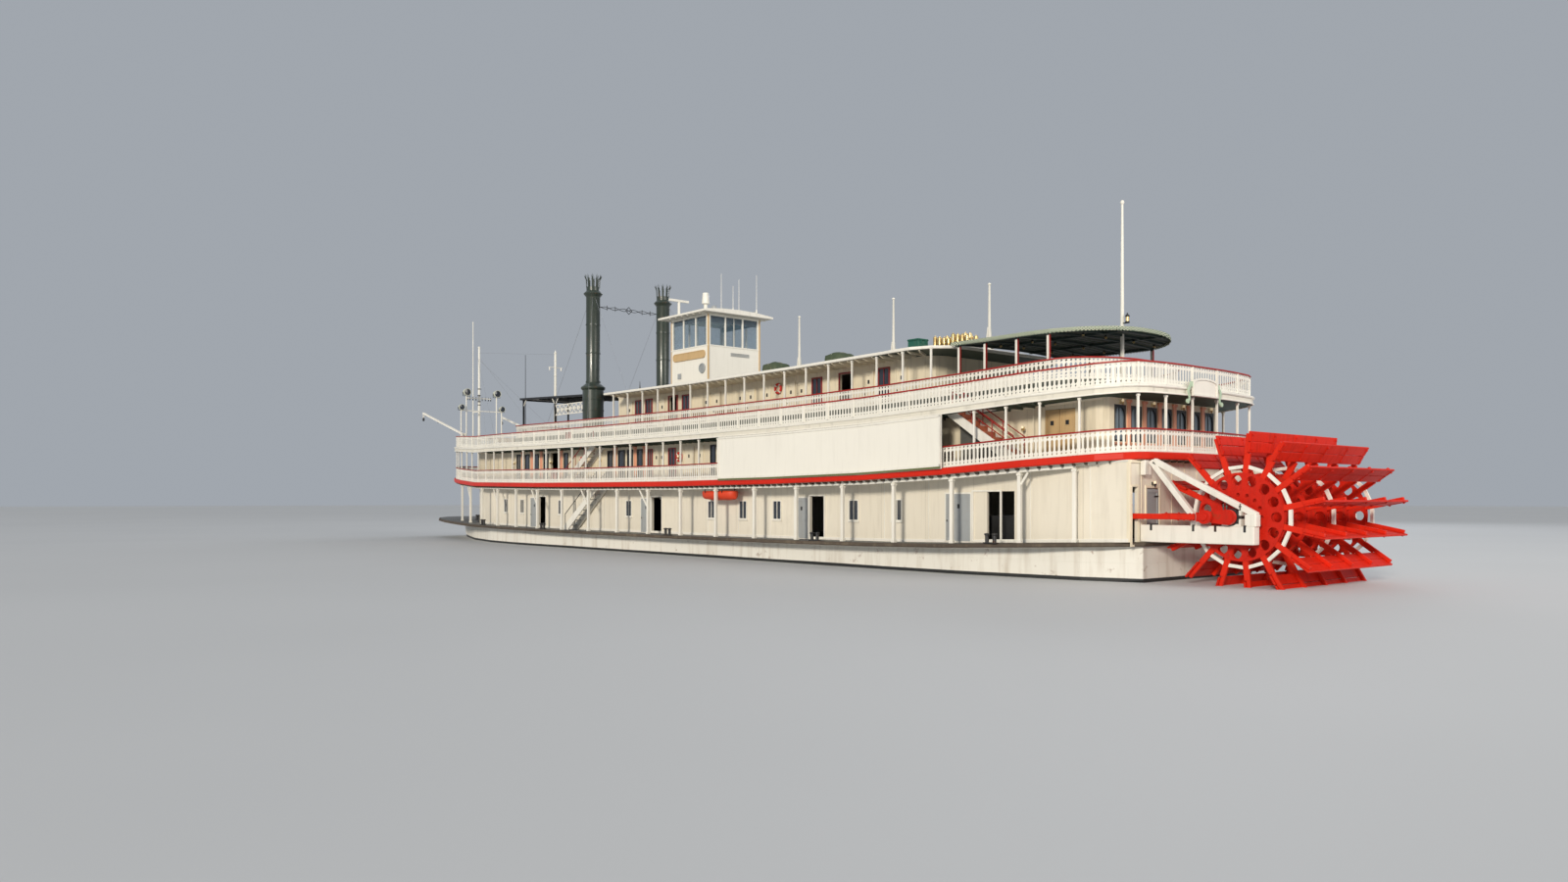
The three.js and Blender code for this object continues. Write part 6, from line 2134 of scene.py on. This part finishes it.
# %% [markdown]
# ## Stern and quarter
#
# A blank board with an arched top hangs on the stern rail between two scrolls. The braces of the wheel
# beams run up to the guard, and a block on each beam carries the shaft's bearing.

# %% The blank stern board
board_shape, scrolls, frame_shape = shapes(3)
stern_rim = Path(RIM["texas_deck"])
edge_x = stern_rim.points[0].x
low_z, high_z, middle = 0.939, 1.016, 0.047
place = facing_aft(edge_x - 0.013, 0.0, 0.0)
outline = arched(middle - 0.098, middle + 0.098, low_z, high_z, 0.022)
inner = arched(middle - 0.09, middle + 0.09, low_z + 0.008, high_z - 0.008, 0.018)
cut_board(board_shape, outline, [], 0.005, place)
cut_board(frame_shape, outline, [inner], 0.004, place @ shift(0, 0.0045, 0))
for side in (1, -1):
    curl = [(middle + side * (0.1 + 0.03 * t + 0.01 * math.sin(5 * t)), high_z - 0.03 - 0.072 * t)
            for t in (k / 8 for k in range(9))]
    width = 0.014
    shape = curl + [(x + side * width * (1 - abs(2 * k / 8 - 1) * 0.6), z + 0.006)
                    for k, (x, z) in reversed(list(enumerate(curl)))]
    plate(scrolls, shape if side < 0 else shape[::-1], 0.0045, place)
    for t, r in ((0.0, 0.012), (1.0, 0.01)):
        x, z = middle + side * (0.105 + 0.03 * t), high_z - 0.03 - 0.072 * t
        rod(scrolls, place @ Vector((x, -0.003, z)), place @ Vector((x, 0.0035, z)), r, sides=16)
for y in (middle - 0.08, middle + 0.08):
    set_block(frame_shape, place, (y - 0.004, -0.016, 0.955), (y + 0.004, -0.002, 0.975))
piece("stern_board", board_shape, "white")
piece("stern_board_frame", frame_shape, "white")
piece("stern_scrolls", scrolls, "pale_green", smooth=40)

# %% Wheel timbers with chamfered beams
timbers = new_shape()
beam_y = 0.41
top = deck_at("boiler_deck", 0.378) - 0.031
deck_z = deck_at("main_deck", 0.38) + 0.002
block(timbers, (at(-0.09), 0.388, deck_z), (at(0.378), 0.432, 0.411), 0.0025)
block(timbers, (at(-0.038), 0.392, 0.41), (at(0.038), 0.428, 0.42), 0.0015)
for sign in (-1, 1):
    block(timbers, (at(sign * 0.034) - 0.0045, 0.392, 0.419), (at(sign * 0.034) + 0.0045, 0.428, 0.47), 0.001)
block(timbers, (at(0.356), 0.388, top - 0.06), (at(0.378), 0.432, top - 0.0005), 0.002)
for head_s, foot_s, foot_z in ((0.328, -0.092, 0.452), (0.34, 0.142, 0.424)):
    bar(timbers, (at(head_s), beam_y, top - 0.004), (at(foot_s), beam_y, foot_z), 0.024, 0.022, 0.002)
block(timbers, (at(-0.096), 0.391, 0.41), (at(-0.052), 0.429, 0.456), 0.003)
block(timbers, (at(0.122), 0.393, 0.41), (at(0.166), 0.427, 0.426), 0.0025)
pair("wheel_beams", timbers, "white", replaces=["wheel_timbers"])
print(COUNT)

# %% [markdown]
# ## Life rings, fire boxes, rescue boats and benches
#
# A boat in service has safety gear at hand. Rings hang on the cabin walls, red boxes stand on the decks,
# a rescue boat hangs under each guard, and slatted benches line the walks.


# %% Life rings and red boxes
RING_RADIUS = 0.025
RING_THICK = 0.0065


def ring(bm, lashings, place):
    radius, thick = RING_RADIUS, RING_THICK
    lathe(bm, [(radius + thick * math.cos(a), thick * math.sin(a))
               for a in (math.tau * k / 10 for k in range(11))],
          place @ Matrix.Rotation(-math.pi / 2, 4, "X"), 24)
    for k in range(4):
        angle = math.tau * (k + 0.5) / 4
        spot = place @ Matrix.Rotation(angle, 4, "Y") @ shift(radius, 0, 0)
        made = new_shape()
        lathe(made, [(thick + 0.0006, -0.004), (thick + 0.0006, 0.004), (thick - 0.002, 0.004),
                     (thick - 0.002, -0.004), (thick + 0.0006, -0.004)], None, 10)
        set_down(lashings, made, spot)


rings, lashings, boxes, box_trims = shapes(4)
wall_place = on_deck("texas_cabin", "inner_deck", 2.694, 0.175)
ring(rings, lashings, wall_place @ shift(0, 0.0085, 0))
for s in (3.43, 4.595, 2.45):
    ring(rings, lashings, on_deck("boiler_cabin", "boiler_deck", s, 0.15) @ shift(0, 0.012, 0))
for s, deck in ((4.62, "texas_deck"), (4.81, "boiler_deck")):
    z = deck_at(deck, s) + 0.001
    y = half_breadth("texas_deck", at(s)) - 0.052
    block(boxes, (at(s) - 0.02, y - 0.013, z), (at(s) + 0.02, y + 0.013, z + 0.08), 0.002)
    block(box_trims, (at(s) - 0.015, y + 0.0125, z + 0.012), (at(s) + 0.015, y + 0.014, z + 0.068), 0.0006)
pair("life_rings", rings, "ring_red", smooth=60)
pair("ring_lashings", lashings, "white", smooth=60)
pair("fire_boxes", boxes, "canvas_red")
pair("fire_box_doors", box_trims, "cap_red")

# %% A rescue boat under the guard
rescue, slings = shapes(2)
boat_line = [(0.0, 0.01), (0.06, 0.032), (0.16, 0.042), (0.7, 0.044), (0.9, 0.036), (0.97, 0.02),
             (1.0, 0.006)]
rings_of_boat = []
for share, half in boat_line:
    x, low = at(2.8 + 0.3 * share), 0.505 + 0.045 * abs(share - 0.45) ** 2.2
    rings_of_boat.append([rescue.verts.new((x, 0.605 + half * math.cos(a),
                                            0.552 - (0.552 - low) * math.sin(a) ** 0.8))
                          for a in (math.pi * k / 10 for k in range(11))]
                         + [rescue.verts.new((x, 0.605 - half * 0.8, 0.56)),
                            rescue.verts.new((x, 0.605 + half * 0.8, 0.56))])
for a, b in zip(rings_of_boat, rings_of_boat[1:]):
    for i in range(len(a)):
        j = (i + 1) % len(a)
        rescue.faces.new((a[i], a[j], b[j], b[i]))
rescue.faces.new(rings_of_boat[0][::-1])
rescue.faces.new(rings_of_boat[-1])
bmesh.ops.recalc_face_normals(rescue, faces=rescue.faces)
for s in (2.87, 3.03):
    under = deck_at("boiler_deck", s) - 0.0305
    for y in (0.56, 0.65):
        bar(slings, (at(s), y, under), (at(s), y, 0.552), 0.003, 0.004)
    bar(slings, (at(s), 0.558, 0.551), (at(s), 0.652, 0.551), 0.004, 0.003)
    block(slings, (at(s) - 0.006, 0.545, under - 0.008), (at(s) + 0.006, 0.665, under), 0.001)
pair("rescue_boat", rescue, "boat_orange", smooth=50)
pair("rescue_slings", slings, "iron")


# %% Benches
def bench():
    bm = new_shape()
    for k in range(4):
        block(bm, (-0.085, -0.02 + 0.0105 * k, 0.042), (0.085, -0.012 + 0.0105 * k, 0.0455), 0.0006)
    for k in range(3):
        block(bm, (-0.085, 0.0205, 0.056 + 0.011 * k), (0.085, 0.0235, 0.064 + 0.011 * k), 0.0006)
    for x in (-0.07, 0.0, 0.07):
        block(bm, (x - 0.002, -0.018, 0.0), (x + 0.002, -0.013, 0.043))
        block(bm, (x - 0.002, 0.018, 0.0), (x + 0.002, 0.0215, 0.088))
        block(bm, (x - 0.0018, -0.018, 0.036), (x + 0.0018, 0.02, 0.0425))
    return bm


benches = new_shape()
bench_shape = bench()
for s in (1.35, 1.6, 2.35, 2.62, 3.2, 3.44, 4.05):
    place = on_deck("boiler_cabin", "boiler_deck", s, 0.001) if s < 2.9 else on_wall(
        "texas_cabin", s, deck_at("inner_deck", s) + 0.001)
    stamp(benches, bench_shape, [place @ shift(0, 0.03, 0) @ Matrix.Rotation(math.pi, 4, "Z")])
for k in range(4):
    s = 5.75 + 0.26 * k
    stamp(benches, bench_shape, [shift(at(s), 0.15, deck_top("texas_deck", at(s) + 0.09) + 0.001)
                                 @ Matrix.Rotation(-math.pi / 2, 4, "Z")])
pair("benches", benches, "bench_wood")
print(COUNT)

# %% [markdown]
# ## Bow
#
# The foredeck carries the gear that works the landing stages: a capstan, bitts, two booms with their
# hooks, and the mast stand with its search lights, crossbars and stays.

# %% Capstan and bitts on the main deck
capstan_x = at(7.2)
capstan, bitts = shapes(2)
z = deck_at("main_deck", 7.2)
lathe(capstan, [(0.0, z), (0.05, z), (0.05, z + 0.008), (0.04, z + 0.012), (0.026, z + 0.02),
                (0.02, z + 0.04), (0.024, z + 0.056), (0.036, z + 0.062), (0.038, z + 0.076),
                (0.03, z + 0.08), (0.0, z + 0.082)], shift(capstan_x, 0, 0), 24)
for angle in turns(6):
    bar(capstan, (capstan_x + math.cos(angle) * 0.022, math.sin(angle) * 0.022, z + 0.02),
        (capstan_x + math.cos(angle) * 0.027, math.sin(angle) * 0.027, z + 0.058), 0.004, 0.004)
for s, y in ((7.02, 0.2), (6.62, 0.36), (0.95, 0.66), (2.05, 0.685), (3.35, 0.69), (4.9, 0.69), (6.05, 0.6)):
    z = deck_at("main_deck", s)
    block(bitts, (at(s) - 0.034, y - 0.012, z), (at(s) + 0.034, y + 0.012, z + 0.005), 0.001)
    for x in (-0.02, 0.02):
        lathe(bitts, [(0.0, z + 0.004), (0.0085, z + 0.004), (0.0085, z + 0.034), (0.0125, z + 0.038),
                      (0.0125, z + 0.042), (0.0, z + 0.045)], shift(at(s) + x, y, 0), 12)
piece("capstan", capstan, "iron", smooth=35)
pair("bitts", bitts, "iron", smooth=35)

# %% Search lights, masthead balls and stays
stand_x = at(7.43)
cases, lenses, balls, wires, irons = shapes(5)
lamp_x = at(7.38)
for side in (1, -1):
    for y, z, r in ((0.145, 1.478, 0.03), (0.195, 1.341, 0.024)):
        drum = shift(lamp_x, side * y, z) @ Matrix.Rotation(-math.pi / 2, 4, "Y")
        lathe(cases, [(0.0, -r * 0.95), (r * 0.72, -r * 0.85), (r * 1.02, -r * 0.25), (r * 1.05, r * 0.8),
                      (r * 1.12, r * 0.86), (r * 1.12, r * 1.02), (r * 0.98, r * 1.02),
                      (r * 0.98, r * 0.88), (0.0, r * 0.88)], drum, 20)
        lathe(lenses, [(0.0, r * 0.98), (r * 0.6, r * 0.96), (r * 0.975, r * 0.9)], drum, 20)
        for arm in (-1, 1):
            bar(irons, (lamp_x, side * y + arm * r * 1.1, z - r * 1.1),
                (lamp_x, side * y + arm * r * 1.1, z + r * 0.1), 0.003, 0.005)
        bar(irons, (lamp_x, side * y - r * 1.1, z - r * 1.1), (lamp_x, side * y + r * 1.1, z - r * 1.1),
            0.005, 0.003)
for s, top, r in ((7.43, 1.89, 0.01), (7.56, 2.132, 0.0055)):
    lathe(balls, [(0.0, top - 0.002), (r * 0.6, top - 0.001), (r * 1.2, top + r * 0.6),
                  (r * 1.2, top + r * 1.1), (r * 0.5, top + r * 1.8), (0.0, top + r * 1.9)],
          shift(at(s), 0, 0), 12)
for y in (0.03, 0.06, 0.09, 0.112):
    for side in (1, -1):
        rod(irons, (stand_x, side * y, 1.43), (stand_x, side * y, 1.414), 0.0042, sides=8)
        rod(irons, (stand_x, side * y, 1.438), (stand_x, side * y, 1.447), 0.0028, sides=8)
for z in (1.375, 1.405, 1.46, 1.52):
    lathe(irons, [(0.0118, z - 0.004), (0.0145, z - 0.003), (0.0145, z + 0.003), (0.0118, z + 0.004)],
          shift(stand_x, 0, 0), 12)
stay_feet = [(6.62, 0.3), (6.3, 0.36)]
for side in (1, -1):
    for (s, y), top in zip(stay_feet, (1.8, 1.78)):
        rod(wires, (stand_x, side * 0.008, top), (at(s), side * y, deck_at("texas_deck", s) + 0.001),
            0.0008, sides=5)
rod(wires, (stand_x, 0.0, 1.85), (at(5.995), 0.0, 1.69), 0.0007, sides=5)
piece("search_lights", cases, "lamp_case", smooth=35)
piece("search_lenses", lenses, "glass", smooth=40)
piece("search_light_irons", irons, "black", smooth=35)
piece("mast_balls", balls, "white", smooth=40)
piece("bow_stays", wires, "wire")
print(COUNT)

# %% Booms: collars, block and hook
BOOM_LIFT = math.radians(15)
for side, k in (("port", 1), ("starboard", -1)):
    collars, block_shape = shapes(2)
    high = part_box(f"boom_{side}")[1]
    y = k * 0.385
    along = Vector((math.cos(BOOM_LIFT), 0, math.sin(BOOM_LIFT)))
    tip = Vector((high[0] - 0.004, y, high[2] - 0.008))
    heel = tip - along * 0.895
    for share in (0.06, 0.3, 0.62, 0.93, 0.985):
        spot = heel.lerp(tip, share)
        bar(collars, spot - along * 0.004, spot + along * 0.004, 0.0175, 0.0185, 0.001)
    for share in (0.93, 0.62, 0.3):
        spot = heel.lerp(tip, share)
        bar(block_shape, spot - Vector((0, 0, 0.006)), spot - Vector((0, 0, 0.018)), 0.004, 0.004)
    hang = Vector((high[0] - 0.006, y, high[2] - 0.064))
    lathe(block_shape, [(0.0, -0.018), (0.006, -0.016), (0.0095, -0.006), (0.0095, 0.008), (0.004, 0.016),
                        (0.0, 0.017)], Matrix.Translation(hang), 12)
    piece(f"boom_collars_{side}", collars, "white", f"boom_{side}")
    piece(f"boom_blocks_{side}", block_shape, "black", f"boom_{side}", smooth=40)
    head = new_shape()
    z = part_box(f"boom_post_{side}")[0][2]
    lathe(head, [(0.016, z + 0.001), (0.024, z + 0.001), (0.024, z + 0.005), (0.0175, z + 0.008),
                 (0.016, z + 0.014)], shift(at(6.9), y, 0), 20)
    for band_z in (z + 0.04, z + 0.075):
        lathe(head, [(0.014, band_z - 0.003), (0.0165, band_z - 0.002), (0.0165, band_z + 0.002),
                     (0.014, band_z + 0.003)], shift(at(6.9), y, 0), 20)
    piece(f"boom_post_bands_{side}", head, "iron", f"boom_post_{side}", smooth=35)
print(COUNT)

# %% [markdown]
# ## Floor, light and camera
#
# A boat afloat is shown down to her waterline, so the floor lies there and hides the hull below it. The
# light is a wide soft sun, low on the port side, with a broad fill from aft and a pale sky. The camera
# stands where the photographer stood: level, off the port quarter, a little above the water.


# %% Floor
floor_shape = new_shape()
bmesh.ops.create_grid(floor_shape, x_segments=1, y_segments=1, size=60.0, matrix=shift(0, 0, WATERLINE))
floor_mesh = bpy.data.meshes.new("floor")
floor_shape.to_mesh(floor_mesh)
floor_shape.free()
floor_finish = Finish("floor_paper")
cloud = floor_finish.grain(0.6, 2.0)
floor_finish.set(Base_Color=floor_finish.mix(cloud, (0.55, 0.56, 0.57), (0.6, 0.61, 0.62)), Roughness=0.7)
floor_mesh.materials.append(floor_finish.material)
floor = bpy.data.objects.new("floor", floor_mesh)
bpy.context.scene.collection.objects.link(floor)


# %% Lights
def light(name, kind, way, energy, colour, place=(0.0, 0.0, 0.0)):
    """A lamp that shines along a way; returns its settings."""
    lamp = bpy.data.lights.new(name, kind)
    lamp.energy, lamp.color = energy, colour
    made = bpy.data.objects.new(name, lamp)
    made.location = place
    made.rotation_euler = Vector(way).to_track_quat("-Z", "Y").to_euler()
    bpy.context.scene.collection.objects.link(made)
    return lamp


light("key", "SUN", (6.2, -13.0, -4.4), 2.5, (1.0, 0.925, 0.8)).angle = math.radians(9)
for name, place, aim, size, watts, colour in (
        ("fill", Vector((-11.0, -2.0, 5.0)), Vector((-1.5, 0, 0.8)), (6.0, 5.0), 400, (1.0, 0.95, 0.88)),
        ("back", Vector((4.0, -10.0, 6.0)), Vector((0, 0, 1.0)), (7.0, 5.0), 260, (0.92, 0.95, 1.0))):
    lamp = light(name, "AREA", aim - place, watts, colour, place)
    lamp.shape = "RECTANGLE"
    lamp.size, lamp.size_y = size
world = bpy.data.worlds.new("pale_sky")
world.use_nodes = True
sky = world.node_tree.nodes["Background"].inputs
sky["Color"].default_value = (0.74, 0.8, 0.88, 1.0)
sky["Strength"].default_value = 0.48
bpy.context.scene.world = world
bpy.context.scene.view_settings.view_transform = "Standard"

# %% Camera
camera_data = bpy.data.cameras.new("photographer")
camera_data.lens = 25.4
camera_data.sensor_width = 36.0
camera_data.shift_y = 0.0375
camera_data.clip_end = 200.0
camera = bpy.data.objects.new("photographer", camera_data)
camera.location = (-5.805, 4.36, 0.51)
view_way = Vector((0.766, -0.643, 0.0))
camera.rotation_euler = view_way.to_track_quat("-Z", "Y").to_euler()
bpy.context.scene.collection.objects.link(camera)
bpy.context.scene.camera = camera
print("camera looks along", tuple(round(v, 3) for v in view_way))

# %% The count of pieces and triangles
print(COUNT)
